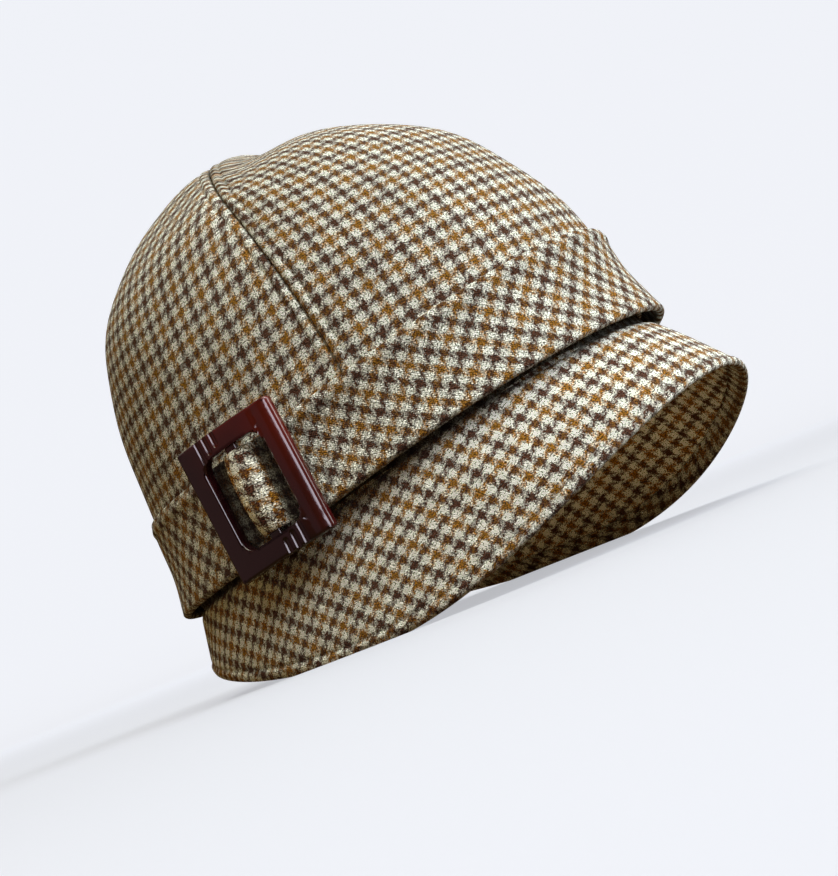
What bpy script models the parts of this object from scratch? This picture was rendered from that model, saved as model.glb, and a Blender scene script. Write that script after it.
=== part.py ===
"""Cloche hat in checked wool tweed, with a folded band and a plastic buckle.

The hat is drawn about the axis of its crown, in millimetres: +z runs up the
crown, the wearer faces -y, and the level z = 0 is the band's folded edge.
It is then leaned back onto its brim, as it rests on a table by itself, and
scaled to metres. The buckle is over the wearer's right ear, on the -x side.
"""

import math
from typing import NamedTuple

import bmesh
import bpy
import numpy as np
from mathutils import Matrix, Vector

MM = 0.001

# Cloth and clearances
CROWN_CLOTH = 1.8
BRIM_CLOTH = 1.5
FACING_CLOTH = 1.5
FOLD_THICKNESS = 3.4
GAP = 0.3

# Crown: three gores that meet at a point a little behind the middle
SIDE_SEAM_DEG = 67.5
SEAM_VALLEY = 1.1
SEAM_VALLEY_WIDTH = 5.0
SEAM_FADE_HEIGHT = 12.0
SEAM_FADE_RADIUS = 14.0
APEX_DENT = 5.0
APEX_DENT_FROM = 104.0
APEX_DENT_AHEAD = 25.0
APEX_DENT_BEHIND = 10.0
APEX_DENT_BEFORE = 15.0
APEX_DENT_ACROSS = 32.0
SQUARENESS = 2.1
FOOT_HEIGHT = 6.0
INSIDE_HEIGHT = 20.0

# Band, folded at its lower edge and sewn in at its top
BAND_LINE = 37.0
BAND_SAG = 0.8
BAND_SAG_FRONT = 0.9
BAND_SEAM_DROP = 0.6
BAND_FLARE = 1.6

# Brim: a collar inside the crown's foot, a cone, a rolled edge and its hem
COLLAR_HEIGHT = 13.0
BRIM_FOOT_DROP = 0.5
BRIM_BOW_FRONT = 0.9
BRIM_BOW_BACK = 0.45
BRIM_BOW_SKEW = 1.2
HEM_DEPTH = 6.0

# Rest: leaned back until its weight is over the two low sides of the brim
REST_LEAN_DEG = 11.5
REST_FLATTENING = 1.2

# Buckle, about the middle of its back
BUCKLE_DEG = 98.9
BUCKLE_FACING_DEG = 95.5
BUCKLE_HEIGHT_UP = 17.6
BUCKLE_STAND_OFF = 4.1
BUCKLE_TURN_DEG = 2.4
BUCKLE_LEAN_DEG = 3.0
BUCKLE_WIDTH = 45.4
BUCKLE_LENGTH = 52.2
BUCKLE_THICKNESS = 4.6
BUCKLE_BEND_RADIUS = 135.0
BUCKLE_CORNER = 1.2
BUCKLE_EDGE = 0.7
BEND_STEP = 5.0
CUT_DEPTH = 9.0
WINDOW_WIDTH = 28.0
WINDOW_LENGTH = 36.0
WINDOW_CORNER = 5.0
BAR_WIDTH = 5.0
BAR_LEVEL = 1.2
BAR_THICKNESS = 2.2
BAR_CORNER = 0.6
BAR_BEDDING = 1.0
FLUTE_RADIUS = 1.1
FLUTE_DEPTH = 0.7
FLUTE_SPACING = 3.8
FLUTE_FROM_EDGE = 11.5
FLUTE_LENGTHS = (11.5, 8.6, 7.5)

# Tab: the strap that passes over the centre bar and under both side bars
TAB_CLOTH = 1.1
TAB_WIDTH = 33.0
TAB_HALF_SPAN = 19.0
TAB_RISE_AT = 12.5
TAB_TOP_AT = 7.0
TAB_FOOT_RUN = 2.2
TAB_FOOT_RISE = 1.0
TAB_SHOULDER = 1.6
TAB_CROWN = 0.2

RING_STEPS = 72
FIRST_COLUMN_DEG = 2.5
GORE_ROW_HEIGHTS = (FOOT_HEIGHT, 21, BAND_LINE, 50, 64, 79, 94, 107, 118, 127, 133.5, 137.5)


class Station(NamedTuple):
    """A row of a closed outline: its reach from the axis and its height."""

    deg: float
    reach: float
    height: float


class Section(NamedTuple):
    """A level section of the crown, an oval set back from the axis."""

    height: float
    setback: float
    half_length: float
    half_width: float


BRIM_EDGE = (
    Station(deg=0, reach=124.0, height=-29.8),
    Station(deg=45, reach=110.0, height=-46.3),
    Station(deg=90, reach=99.5, height=-52.8),
    Station(deg=135, reach=104.5, height=-31.8),
    Station(deg=180, reach=109.0, height=-16.0),
)
BAND_FOLD = (
    Station(deg=0, reach=107.8, height=1.9),
    Station(deg=45, reach=99.2, height=0.4),
    Station(deg=90, reach=89.5, height=-2.2),
    Station(deg=135, reach=98.9, height=-0.6),
    Station(deg=180, reach=108.6, height=2.4),
)
BAND_TOP = (
    Station(deg=0, reach=104.8, height=39.5),
    Station(deg=45, reach=94.4, height=36.9),
    Station(deg=90, reach=83.6, height=34.5),
    Station(deg=135, reach=92.9, height=36.9),
    Station(deg=180, reach=102.6, height=39.1),
)
CROWN_SECTIONS = (
    Section(height=6.0, setback=1.5, half_length=101.4, half_width=84.4),
    Section(height=37.0, setback=-0.4, half_length=101.0, half_width=81.4),
    Section(height=60.0, setback=0.2, half_length=97.3, half_width=77.2),
    Section(height=87.0, setback=2.4, half_length=87.8, half_width=69.9),
    Section(height=104.0, setback=4.8, half_length=78.3, half_width=61.8),
    Section(height=118.0, setback=7.4, half_length=63.6, half_width=50.2),
    Section(height=128.2, setback=9.2, half_length=47.0, half_width=36.5),
    Section(height=137.0, setback=9.8, half_length=27.0, half_width=21.2),
    Section(height=141.8, setback=9.6, half_length=0.0, half_width=0.0),
)


class Outline:
    """A closed outline that is even about the middle of the hat.

    A cosine series passes through the five stations, so the outline is
    smooth at the front and at the back.
    """

    def __init__(self, stations):
        angles = np.radians([row.deg for row in stations])
        orders = np.arange(len(stations))
        basis = np.cos(np.outer(angles, orders))
        self.reach_terms = np.linalg.solve(basis, [row.reach for row in stations])
        self.height_terms = np.linalg.solve(basis, [row.height for row in stations])
        self.orders = orders

    def at(self, angle):
        """Reach and height at an angle, in radians from the front."""
        waves = np.cos(self.orders * angle)
        return float(self.reach_terms @ waves), float(self.height_terms @ waves)


class Spline:
    """A natural cubic through rows of values, at given distances."""

    def __init__(self, distances, rows):
        self.s = np.asarray(distances, float)
        self.y = np.asarray(rows, float)
        h = np.diff(self.s)
        count = len(self.s)
        matrix = np.eye(count)
        right = np.zeros_like(self.y)
        slope = np.diff(self.y, axis=0) / h[:, None]
        for i in range(1, count - 1):
            matrix[i, i - 1] = h[i - 1]
            matrix[i, i] = 2 * (h[i - 1] + h[i])
            matrix[i, i + 1] = h[i]
            right[i] = 6 * (slope[i] - slope[i - 1])
        self.bend = np.linalg.solve(matrix, right)

    def at(self, distance):
        """The row of values at a distance along the curve."""
        i = int(np.clip(np.searchsorted(self.s, distance) - 1, 0, len(self.s) - 2))
        h = self.s[i + 1] - self.s[i]
        a = (self.s[i + 1] - distance) / h
        b = 1 - a
        curve = (a**3 - a) * self.bend[i] + (b**3 - b) * self.bend[i + 1]
        return a * self.y[i] + b * self.y[i + 1] + curve * h * h / 6


class Crown:
    """The crown's outer surface, from its foot up to the point of the gores."""

    def __init__(self, sections):
        rows = np.array(sections)
        steps = np.hypot(np.diff(rows[:, 0]), np.diff(rows[:, 2]))
        distances = np.concatenate([[0], np.cumsum(steps)])
        beyond = rows[-2::-1] * (1, 1, -1, -1)
        mirrored = 2 * distances[-1] - distances[-2::-1]
        self.spline = Spline(
            np.concatenate([distances, mirrored]), np.concatenate([rows, beyond])
        )
        self.top = float(distances[-1])

    def distance_at(self, height):
        """The distance up the profile at which the surface has a height."""
        low, high = 0.0, self.top
        for _ in range(40):
            middle = (low + high) / 2
            if self.spline.at(middle)[0] < height:
                low = middle
            else:
                high = middle
        return (low + high) / 2

    def reach(self, angle, height):
        """Distance from the axis to the smooth surface, at a level."""
        _, setback, length, width = self.spline.at(self.distance_at(height))
        low, high = 0.0, 2 * length
        for _ in range(40):
            middle = (low + high) / 2
            x = abs(middle * math.sin(angle)) / width
            y = abs(-middle * math.cos(angle) - setback) / length
            if x**SQUARENESS + y**SQUARENESS < 1:
                low = middle
            else:
                high = middle
        return (low + high) / 2

    def smooth_point(self, angle, distance):
        """A point of the crown before its seams and dent are pressed in."""
        height, setback, length, width = self.spline.at(distance)
        length = max(float(length), 1e-6)
        width = max(float(width), 1e-6)
        across = abs(math.sin(angle) / width) ** SQUARENESS
        along = abs(math.cos(angle) / length) ** SQUARENESS
        radius = (across + along) ** (-1 / SQUARENESS)
        x = -radius * math.sin(angle)
        y = setback - radius * math.cos(angle)
        return Vector((x, y, float(height))), radius

    def sink(self, angle, distance):
        """How far the surface lies under the smooth one."""
        point, radius = self.smooth_point(angle, distance)
        above_band = min(max((point.z - BAND_LINE) / SEAM_FADE_HEIGHT, 0), 1)
        depth = 0.0
        for seam in (SIDE_SEAM_DEG, -SIDE_SEAM_DEG, 180.0):
            turn = math.remainder(angle - math.radians(seam), math.tau)
            off_seam = radius * abs(turn)
            depth += SEAM_VALLEY * math.exp(-((off_seam / SEAM_VALLEY_WIDTH) ** 2))
        depth *= above_band * min(radius / SEAM_FADE_RADIUS, 1)
        if point.z > APEX_DENT_FROM:
            off = CROWN_SECTIONS[-1].setback - point.y - APEX_DENT_AHEAD
            spread = APEX_DENT_BEFORE if off > 0 else APEX_DENT_BEHIND
            across = (point.x / APEX_DENT_ACROSS) ** 2
            depth += APEX_DENT * math.exp(-((off / spread) ** 2) - across)
        return depth

    def point(self, angle, distance, inward=0.0):
        """A point on the surface, or under it by a thickness."""
        step = 0.5
        low = max(distance - step, 0.0)
        high = min(distance + step, self.top - 1e-3)
        middle = (low + high) / 2
        spot, radius = self.smooth_point(angle, distance)
        turn = step / max(radius, step)
        up = self.smooth_point(angle, high)[0] - self.smooth_point(angle, low)[0]
        left = self.smooth_point(angle - turn, middle)[0]
        right = self.smooth_point(angle + turn, middle)[0]
        normal = up.cross(left - right).normalized()
        if normal.dot(spot - Vector((0, 0, INSIDE_HEIGHT))) < 0:
            normal = -normal
        return spot - normal * (self.sink(angle, distance) + inward)


HULL = Crown(CROWN_SECTIONS)
EDGE_LINE = Outline(BRIM_EDGE)
FOLD_LINE = Outline(BAND_FOLD)
TOP_LINE = Outline(BAND_TOP)


def in_plane(angle, reach, height):
    """The point at a reach and a height, an angle round from the front."""
    return Vector((-reach * math.sin(angle), -reach * math.cos(angle), height))


def plain_material(name, colour, roughness):
    """A plain material in the part's own colour."""
    material = bpy.data.materials.new(name)
    material.use_nodes = True
    shader = material.node_tree.nodes["Principled BSDF"]
    shader.inputs["Base Color"].default_value = (*colour, 1)
    shader.inputs["Roughness"].default_value = roughness
    shader.inputs["Metallic"].default_value = 0.0
    return material


def add_object(name, bm, material, smooth_deg=40):
    """Turn a bmesh into a named object with its own material."""
    bmesh.ops.recalc_face_normals(bm, faces=bm.faces)
    mesh = bpy.data.meshes.new(name)
    bm.to_mesh(mesh)
    bm.free()
    mesh.shade_smooth()
    mesh.set_sharp_from_angle(angle=math.radians(smooth_deg))
    mesh.materials.append(material)
    obj = bpy.data.objects.new(name, mesh)
    bpy.context.collection.objects.link(obj)
    return obj


def ring(bm, profile):
    """A closed ring whose cross-section at each angle is a profile."""
    loops = []
    for step in range(RING_STEPS):
        angle = math.tau * step / RING_STEPS
        corners = [in_plane(angle, *spot) for spot in profile(angle)]
        loops.append([bm.verts.new(corner) for corner in corners])
    for here, there in zip(loops, loops[1:] + loops[:1]):
        for i in range(len(here)):
            j = (i + 1) % len(here)
            bm.faces.new((here[i], here[j], there[j], there[i]))


def gore_columns(start, end):
    """Column angles: close by both seams, and in even steps between."""
    near = math.radians(FIRST_COLUMN_DEG)
    count = round((end - start - 2 * near) / (math.tau / RING_STEPS))
    inner = np.linspace(start + near, end - near, count + 1)
    return [start, *inner, end]


def gore_rows():
    """Distances up the crown's profile, closer where it turns over."""
    return [HULL.distance_at(height) for height in GORE_ROW_HEIGHTS]


def make_gore(name, start_deg, end_deg, material):
    """One gore: a wall that ends a hair short of each seam and of the apex."""
    start, end = math.radians(start_deg), math.radians(end_deg)
    bm = bmesh.new()
    columns = gore_columns(start, end)
    walls = []
    for inward in (0.0, CROWN_CLOTH):
        grid = []
        for distance in gore_rows():
            row = []
            for i, angle in enumerate(columns):
                _, radius = HULL.smooth_point(angle, distance)
                if i == 0:
                    angle += GAP / 2 / radius
                elif i == len(columns) - 1:
                    angle -= GAP / 2 / radius
                row.append(bm.verts.new(HULL.point(angle, distance, inward)))
            grid.append(row)
        apex = CROWN_SECTIONS[-1]
        middle = (start + end) / 2
        tip = Vector((0, apex.setback, apex.height - inward))
        tip += Vector((-math.sin(middle), -math.cos(middle), 0)) * GAP
        walls.append((grid, bm.verts.new(tip)))
    for grid, tip in walls:
        for low, high in zip(grid, grid[1:]):
            for i in range(len(columns) - 1):
                bm.faces.new((low[i], low[i + 1], high[i + 1], high[i]))
        for i in range(len(columns) - 1):
            bm.faces.new((grid[-1][i], grid[-1][i + 1], tip))
    (outer, outer_tip), (inner, inner_tip) = walls
    for i in range(len(columns) - 1):
        bm.faces.new((outer[0][i], outer[0][i + 1], inner[0][i + 1], inner[0][i]))
    for side in (0, -1):
        for j in range(len(outer) - 1):
            bm.faces.new(
                (outer[j][side], outer[j + 1][side], inner[j + 1][side], inner[j][side])
            )
        bm.faces.new((outer[-1][side], outer_tip, inner_tip, inner[-1][side]))
    return add_object(name, bm, material)


def band_profile(angle):
    """The band's cross-section: thin at its top seam, doubled at its fold."""
    top_reach, top_height = TOP_LINE.at(angle)
    fold_reach, fold_height = FOLD_LINE.at(angle)
    half = FOLD_THICKNESS / 2
    start = Vector((top_reach, top_height))
    end = Vector((fold_reach, fold_height + half))
    sag = BAND_SAG + BAND_SAG_FRONT * max(math.cos(angle), 0)
    outside = []
    for share in (0.0, 0.25, 0.5, 0.75, 1.0):
        spot = start.lerp(end, share)
        outside.append((spot.x - sag * math.sin(math.pi * share), spot.y))
    centre = Vector((fold_reach - half, fold_height + half))
    fold = []
    for turn in (45, 90, 135, 180):
        t = math.radians(turn)
        fold.append((centre.x + half * math.cos(t), centre.y - half * math.sin(t)))
    inside = []
    inner_foot = fold[-1][0] - HULL.reach(angle, FOOT_HEIGHT) - GAP
    for share in (0.4, 0.7, 1.0):
        height = centre.y + (top_height - BAND_SEAM_DROP - centre.y) * share
        stand_off = inner_foot * (1 - share) ** BAND_FLARE
        reach = HULL.reach(angle, max(height, FOOT_HEIGHT)) + GAP + stand_off
        inside.append((reach, height))
    return outside + fold + inside


def brim_outside(angle):
    """The brim's outer face in one plane, from its collar to its edge."""
    inset = CROWN_CLOTH + GAP
    collar = (HULL.reach(angle, COLLAR_HEIGHT) - inset, COLLAR_HEIGHT)
    foot = Vector((HULL.reach(angle, FOOT_HEIGHT) - inset, FOOT_HEIGHT - BRIM_FOOT_DROP))
    edge = Vector(EDGE_LINE.at(angle))
    along = (edge - foot).normalized()
    outward = Vector((-along.y, along.x))
    front_share = (1 + math.cos(angle)) / 2
    bow = BRIM_BOW_BACK + (BRIM_BOW_FRONT - BRIM_BOW_BACK) * front_share
    spots = [Vector(collar), foot]
    for share in (0.3, 0.65, 1.0):
        spot = foot.lerp(edge, share)
        spots.append(spot + outward * bow * math.sin(math.pi * share**BRIM_BOW_SKEW))
    return spots


def face_normals(spots):
    """Unit normals of an open line, pointing in towards the head."""
    normals = []
    for i in range(len(spots)):
        before = spots[max(i - 1, 0)]
        after = spots[min(i + 1, len(spots) - 1)]
        along = (after - before).normalized()
        normals.append(Vector((along.y, -along.x)))
    return normals


def brim_lines(angle):
    """The brim's outer face, cut back by the roll, and its normals."""
    spots = brim_outside(angle)
    roll = (BRIM_CLOTH + GAP + FACING_CLOTH) / 2
    along = (spots[-1] - spots[-2]).normalized()
    spots[-1] = spots[-1] - along * roll
    return spots, face_normals(spots), along, roll


def brim_profile(angle):
    """The outer cloth: down the outside, round the edge, up as a hem."""
    spots, normals, along, roll = brim_lines(angle)
    inward = Vector((along.y, -along.x))
    centre = spots[-1] + inward * roll
    line = [tuple(spot) for spot in spots[:-1]]
    for turn in (0, 45, 90, 135, 180):
        t = math.radians(turn)
        line.append(tuple(centre - inward * roll * math.cos(t) + along * roll * math.sin(t)))
    hem_top = centre + inward * roll - along * HEM_DEPTH
    line.append(tuple(hem_top))
    line.append(tuple(hem_top - inward * (2 * roll - BRIM_CLOTH)))
    for spot, normal in reversed(list(zip(spots[:-1], normals[:-1]))):
        line.append(tuple(spot + normal * BRIM_CLOTH))
    return line


def facing_profile(angle):
    """The under cloth: it lies inside the outer one, down to the hem."""
    spots, normals, along, _ = brim_lines(angle)
    spots[-1] = spots[-1] - along * (HEM_DEPTH + GAP)
    normals[-1] = Vector((along.y, -along.x))
    near = BRIM_CLOTH + GAP
    far = near + FACING_CLOTH
    outside = [tuple(spot + normal * near) for spot, normal in zip(spots, normals)]
    inside = [tuple(spot + normal * far) for spot, normal in zip(spots, normals)]
    return outside + inside[::-1]


def make_ring(name, profile, material):
    """A cloth ring round the head, as one closed solid."""
    bm = bmesh.new()
    ring(bm, profile)
    return add_object(name, bm, material)


def buckle_matrix():
    """The buckle's own frame: x runs forward, y up and z out of the band."""
    angle = math.radians(BUCKLE_DEG)
    top_reach, top_height = TOP_LINE.at(angle)
    fold_reach, fold_height = FOLD_LINE.at(angle)
    share = (BUCKLE_HEIGHT_UP - fold_height) / (top_height - fold_height)
    reach = fold_reach + (top_reach - fold_reach) * share + BUCKLE_STAND_OFF
    origin = in_plane(angle, reach, BUCKLE_HEIGHT_UP)
    turn = Matrix.Rotation(math.radians(-BUCKLE_FACING_DEG), 4, "Z")
    stand = Matrix.Rotation(math.radians(90 - BUCKLE_LEAN_DEG), 4, "X")
    roll = Matrix.Rotation(math.radians(-BUCKLE_TURN_DEG), 4, "Z")
    return Matrix.Translation(origin) @ turn @ stand @ roll


def rounded_rectangle(width, length, corner, steps):
    """Corner points of a rectangle with round corners, anticlockwise."""
    spots = []
    for quarter in range(4):
        across = 1 if quarter in (0, 3) else -1
        up = 1 if quarter in (0, 1) else -1
        x = across * (width / 2 - corner)
        y = up * (length / 2 - corner)
        for step in range(steps + 1):
            t = math.radians(90 * (quarter + step / steps))
            spots.append((x + corner * math.cos(t), y + corner * math.sin(t)))
    return spots


def bend(point):
    """Wrap a point of the flat buckle round the band's curve."""
    turn = point.x / BUCKLE_BEND_RADIUS
    radius = BUCKLE_BEND_RADIUS + point.z
    return Vector(
        (radius * math.sin(turn), point.y, radius * math.cos(turn) - BUCKLE_BEND_RADIUS)
    )


def prism(bm, spots, low, high):
    """A block with an outline, between two levels."""
    bottom = [bm.verts.new((x, y, low)) for x, y in spots]
    face = bm.faces.new(bottom)
    lifted = bmesh.ops.extrude_face_region(bm, geom=[face])
    top = [item for item in lifted["geom"] if isinstance(item, bmesh.types.BMVert)]
    bmesh.ops.translate(bm, verts=top, vec=(0, 0, high - low))
    bmesh.ops.recalc_face_normals(bm, faces=bm.faces)
    return [item for item in lifted["geom"] if isinstance(item, bmesh.types.BMFace)]


def cutter(name, bm):
    """A hidden object that only cuts."""
    mesh = bpy.data.meshes.new(name)
    bm.to_mesh(mesh)
    bm.free()
    obj = bpy.data.objects.new(name, mesh)
    bpy.context.collection.objects.link(obj)
    obj.hide_render = True
    obj.display_type = "WIRE"
    return obj


def flute_cutter(index):
    """A round-ended groove, at a corner and turned half round at the other."""
    bm = bmesh.new()
    length = FLUTE_LENGTHS[index]
    x = -BUCKLE_WIDTH / 2 + FLUTE_FROM_EDGE + FLUTE_SPACING * index
    for half_turn in (1, -1):
        made = bmesh.ops.create_cone(
            bm,
            cap_ends=True,
            segments=10,
            radius1=FLUTE_RADIUS,
            radius2=FLUTE_RADIUS,
            depth=length,
        )
        bmesh.ops.rotate(
            bm, verts=made["verts"], cent=(0, 0, 0), matrix=Matrix.Rotation(math.pi / 2, 3, "X")
        )
        top = BUCKLE_LENGTH / 2 - length / 2 + BUCKLE_EDGE
        level = BUCKLE_THICKNESS + GAP + FLUTE_RADIUS - FLUTE_DEPTH
        bmesh.ops.translate(bm, verts=made["verts"], vec=(half_turn * x, half_turn * top, level))
    return cutter(f"flute_cutter_{index}", bm)


def make_buckle(material):
    """The buckle: a bevelled frame with a window, a centre bar and flutes."""
    back, face = GAP, GAP + BUCKLE_THICKNESS
    bm = bmesh.new()
    prism(bm, rounded_rectangle(BUCKLE_WIDTH, BUCKLE_LENGTH, BUCKLE_CORNER, 2), back, face)
    frame = add_object("buckle_frame", bm, material, 30)
    bm = bmesh.new()
    prism(bm, rounded_rectangle(WINDOW_WIDTH, WINDOW_LENGTH, WINDOW_CORNER, 3), -CUT_DEPTH, CUT_DEPTH)
    window = cutter("window_cutter", bm)
    bm = bmesh.new()
    bar_length = WINDOW_LENGTH + 2 * BAR_BEDDING
    bar_outline = rounded_rectangle(BAR_WIDTH, bar_length, BAR_CORNER, 1)
    prism(bm, bar_outline, BAR_LEVEL, BAR_LEVEL + BAR_THICKNESS)
    bar = cutter("bar_shape", bm)
    steps = [(window, "DIFFERENCE"), (bar, "UNION")]
    steps += [(flute_cutter(i), "DIFFERENCE") for i in range(len(FLUTE_LENGTHS))]
    edge = frame.modifiers.new("edge", "BEVEL")
    edge.width = BUCKLE_EDGE
    edge.segments = 2
    edge.limit_method = "ANGLE"
    edge.angle_limit = math.radians(60)
    for tool, operation in steps:
        cut = frame.modifiers.new(tool.name, "BOOLEAN")
        cut.operation = operation
        cut.object = tool
    bpy.context.view_layer.update()
    shaped = frame.evaluated_get(bpy.context.evaluated_depsgraph_get())
    bm = bmesh.new()
    bm.from_mesh(shaped.to_mesh())
    shaped.to_mesh_clear()
    frame.modifiers.clear()
    for tool, _ in steps:
        bpy.data.objects.remove(tool)
    bmesh.ops.triangulate(bm, faces=bm.faces)
    for step in range(-3, 4):
        everything = bm.verts[:] + bm.edges[:] + bm.faces[:]
        across = (step * BEND_STEP, 0, 0)
        bmesh.ops.bisect_plane(bm, geom=everything, plane_co=across, plane_no=(1, 0, 0))
    for vert in bm.verts:
        vert.co = bend(vert.co)
    bmesh.ops.remove_doubles(bm, verts=bm.verts, dist=1e-4)
    bmesh.ops.transform(bm, matrix=buckle_matrix(), verts=bm.verts)
    bm.to_mesh(frame.data)
    bm.free()
    frame.data.set_sharp_from_angle(angle=math.radians(30))
    return frame


def tab_line():
    """The strap's path over the bar, seen along the bar."""
    low = -TAB_CLOTH
    high = BAR_LEVEL + BAR_THICKNESS + GAP
    half = (
        (TAB_HALF_SPAN, low),
        (TAB_RISE_AT, low),
        (TAB_RISE_AT - TAB_FOOT_RUN, low + TAB_FOOT_RISE),
        (TAB_TOP_AT + TAB_SHOULDER / 2, high - TAB_SHOULDER),
        (TAB_TOP_AT - TAB_SHOULDER, high - TAB_CROWN),
    )
    other_half = [(-x, level) for x, level in half]
    return [*other_half, (0, high + TAB_CROWN), *reversed(half)]


def make_tab(material):
    """The strap over the centre bar, its ends under the side bars."""
    spots = [Vector(spot) for spot in tab_line()]
    bm = bmesh.new()
    loops = []
    for i, spot in enumerate(spots):
        before = spots[max(i - 1, 0)]
        after = spots[min(i + 1, len(spots) - 1)]
        along = (after - before).normalized()
        over = spot + Vector((-along.y, along.x)) * TAB_CLOTH
        loop = []
        for side in (-TAB_WIDTH / 2, TAB_WIDTH / 2):
            for place in (spot, over) if side < 0 else (over, spot):
                loop.append(bm.verts.new(bend(Vector((place.x, side, place.y)))))
        loops.append(loop)
    for here, there in zip(loops, loops[1:]):
        for i in range(4):
            j = (i + 1) % 4
            bm.faces.new((here[i], here[j], there[j], there[i]))
    bm.faces.new(loops[0])
    bm.faces.new(loops[-1])
    bmesh.ops.transform(bm, matrix=buckle_matrix(), verts=bm.verts)
    return add_object("buckle_tab", bm, material)


def lowest_edge(pitch):
    """The lowest height of the brim's edge once the hat is leaned back."""
    heights = []
    for deg in range(181):
        reach, height = EDGE_LINE.at(math.radians(deg))
        y = -reach * math.cos(math.radians(deg))
        heights.append(height * math.cos(pitch) - y * math.sin(pitch))
    return min(heights)


def settle(pieces):
    """Lean the hat back onto the brim, flatten what rests, scale to metres."""
    pitch = math.radians(REST_LEAN_DEG)
    lift = -lowest_edge(pitch) - REST_FLATTENING
    place = Matrix.Translation((0, 0, lift)) @ Matrix.Rotation(-pitch, 4, "X")
    for piece in pieces:
        piece.data.transform(place)
        for vert in piece.data.vertices:
            vert.co.z = max(vert.co.z, 0.0)
    reach = [vert.co for piece in pieces for vert in piece.data.vertices]
    x = (min(co.x for co in reach) + max(co.x for co in reach)) / 2
    y = (min(co.y for co in reach) + max(co.y for co in reach)) / 2
    centre = Matrix.Scale(MM, 4) @ Matrix.Translation((-x, -y, 0))
    for piece in pieces:
        piece.data.transform(centre)
        piece.data.update()


def make_pieces():
    """Every piece of the hat, about the axis of its crown."""
    pieces = []
    gores = (
        ("crown_front_gore", -SIDE_SEAM_DEG, SIDE_SEAM_DEG, (0.33, 0.25, 0.14)),
        ("crown_right_gore", SIDE_SEAM_DEG, 180.0, (0.30, 0.23, 0.13)),
        ("crown_left_gore", -180.0, -SIDE_SEAM_DEG, (0.30, 0.23, 0.13)),
    )
    for name, start, end, colour in gores:
        tweed = plain_material(name + "_tweed", colour, 0.95)
        pieces.append(make_gore(name, start, end, tweed))
    rings = (
        ("band", band_profile, (0.34, 0.26, 0.15)),
        ("brim_outer", brim_profile, (0.36, 0.28, 0.17)),
        ("brim_facing", facing_profile, (0.28, 0.21, 0.12)),
    )
    for name, profile, colour in rings:
        tweed = plain_material(name + "_tweed", colour, 0.95)
        pieces.append(make_ring(name, profile, tweed))
    pieces.append(make_buckle(plain_material("oxblood_plastic", (0.05, 0.008, 0.006), 0.18)))
    pieces.append(make_tab(plain_material("tab_tweed", (0.36, 0.28, 0.17), 0.95)))
    return pieces


def main():
    """Build the hat and lay it down."""
    for obj in list(bpy.data.objects):
        bpy.data.objects.remove(obj)
    settle(make_pieces())


main()
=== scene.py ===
"""Looks of a cloche hat in checked wool tweed.

Three gores make the crown, a bias strip folded at its lower edge makes the
band, and a cone of cloth with an under cloth makes the brim. A moulded buckle
with a strap over its bar sits on the band. Shapes are drawn in millimetres
about the axis of the crown, with the front at -y and the buckle at -x, and
then laid down in metres as the hat rests by itself.
"""

import logging
import math
from dataclasses import dataclass, replace
from enum import Enum
from functools import partial
from typing import Any, Callable, Sequence

import bmesh
import bpy
import numpy as np
from mathutils import Matrix, Vector


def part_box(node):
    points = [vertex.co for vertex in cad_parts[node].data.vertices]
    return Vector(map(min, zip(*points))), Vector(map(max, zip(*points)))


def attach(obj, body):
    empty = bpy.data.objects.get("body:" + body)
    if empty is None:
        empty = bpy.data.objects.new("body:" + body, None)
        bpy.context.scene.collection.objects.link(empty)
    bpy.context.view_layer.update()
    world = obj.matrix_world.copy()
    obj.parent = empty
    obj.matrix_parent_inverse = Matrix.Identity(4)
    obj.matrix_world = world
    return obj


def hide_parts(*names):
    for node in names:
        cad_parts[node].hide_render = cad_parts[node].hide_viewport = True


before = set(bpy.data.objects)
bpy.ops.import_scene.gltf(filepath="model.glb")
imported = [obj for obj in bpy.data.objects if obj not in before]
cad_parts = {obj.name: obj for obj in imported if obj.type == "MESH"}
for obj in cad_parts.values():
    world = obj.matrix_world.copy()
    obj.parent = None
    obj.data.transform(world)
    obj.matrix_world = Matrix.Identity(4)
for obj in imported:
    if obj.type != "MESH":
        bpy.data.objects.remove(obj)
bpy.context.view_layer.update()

LOG = logging.getLogger("cloche_hat")
MM = 0.001
BODY = "root"
CLOTH_MAP = "cloth"
PAINTED_SHADE_MAP = "painted_shade"
PICTURE_WIDTH = 838
PICTURE_HEIGHT = 876
HOLLOW_MIDDLE = Vector((0, 0, 0.05))
HALVINGS = 40

# Directions in degrees and shares of the slow waves in hand-pressed cloth
RIPPLES = ((12, 1.0), (67, 0.8), (118, 0.62), (161, 0.47))


def linear(hex_colour: str) -> tuple[float, float, float, float]:
    """Turn an sRGB hex colour, a # and six digits, into linear red, green, blue and alpha."""
    parts = [int(hex_colour[i : i + 2], 16) / 255 for i in (1, 3, 5)]
    red, green, blue = [p / 12.92 if p <= 0.04045 else ((p + 0.055) / 1.055) ** 2.4 for p in parts]
    return red, green, blue, 1.0


def feed(tree: bpy.types.NodeTree, node: bpy.types.Node, inputs: dict[Any, Any]) -> None:
    """Give a node's inputs their values, or link them to what feeds them.

    Args:
        tree: The tree that the node is in.
        node: The node.
        inputs: Input name or place, to a value, a socket, or a node whose first output feeds it.
    """
    for key, value in inputs.items():
        source = value.outputs[0] if isinstance(value, bpy.types.Node) else value
        if isinstance(source, bpy.types.NodeSocket):
            tree.links.new(source, node.inputs[key])
        else:
            node.inputs[key].default_value = source


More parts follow.
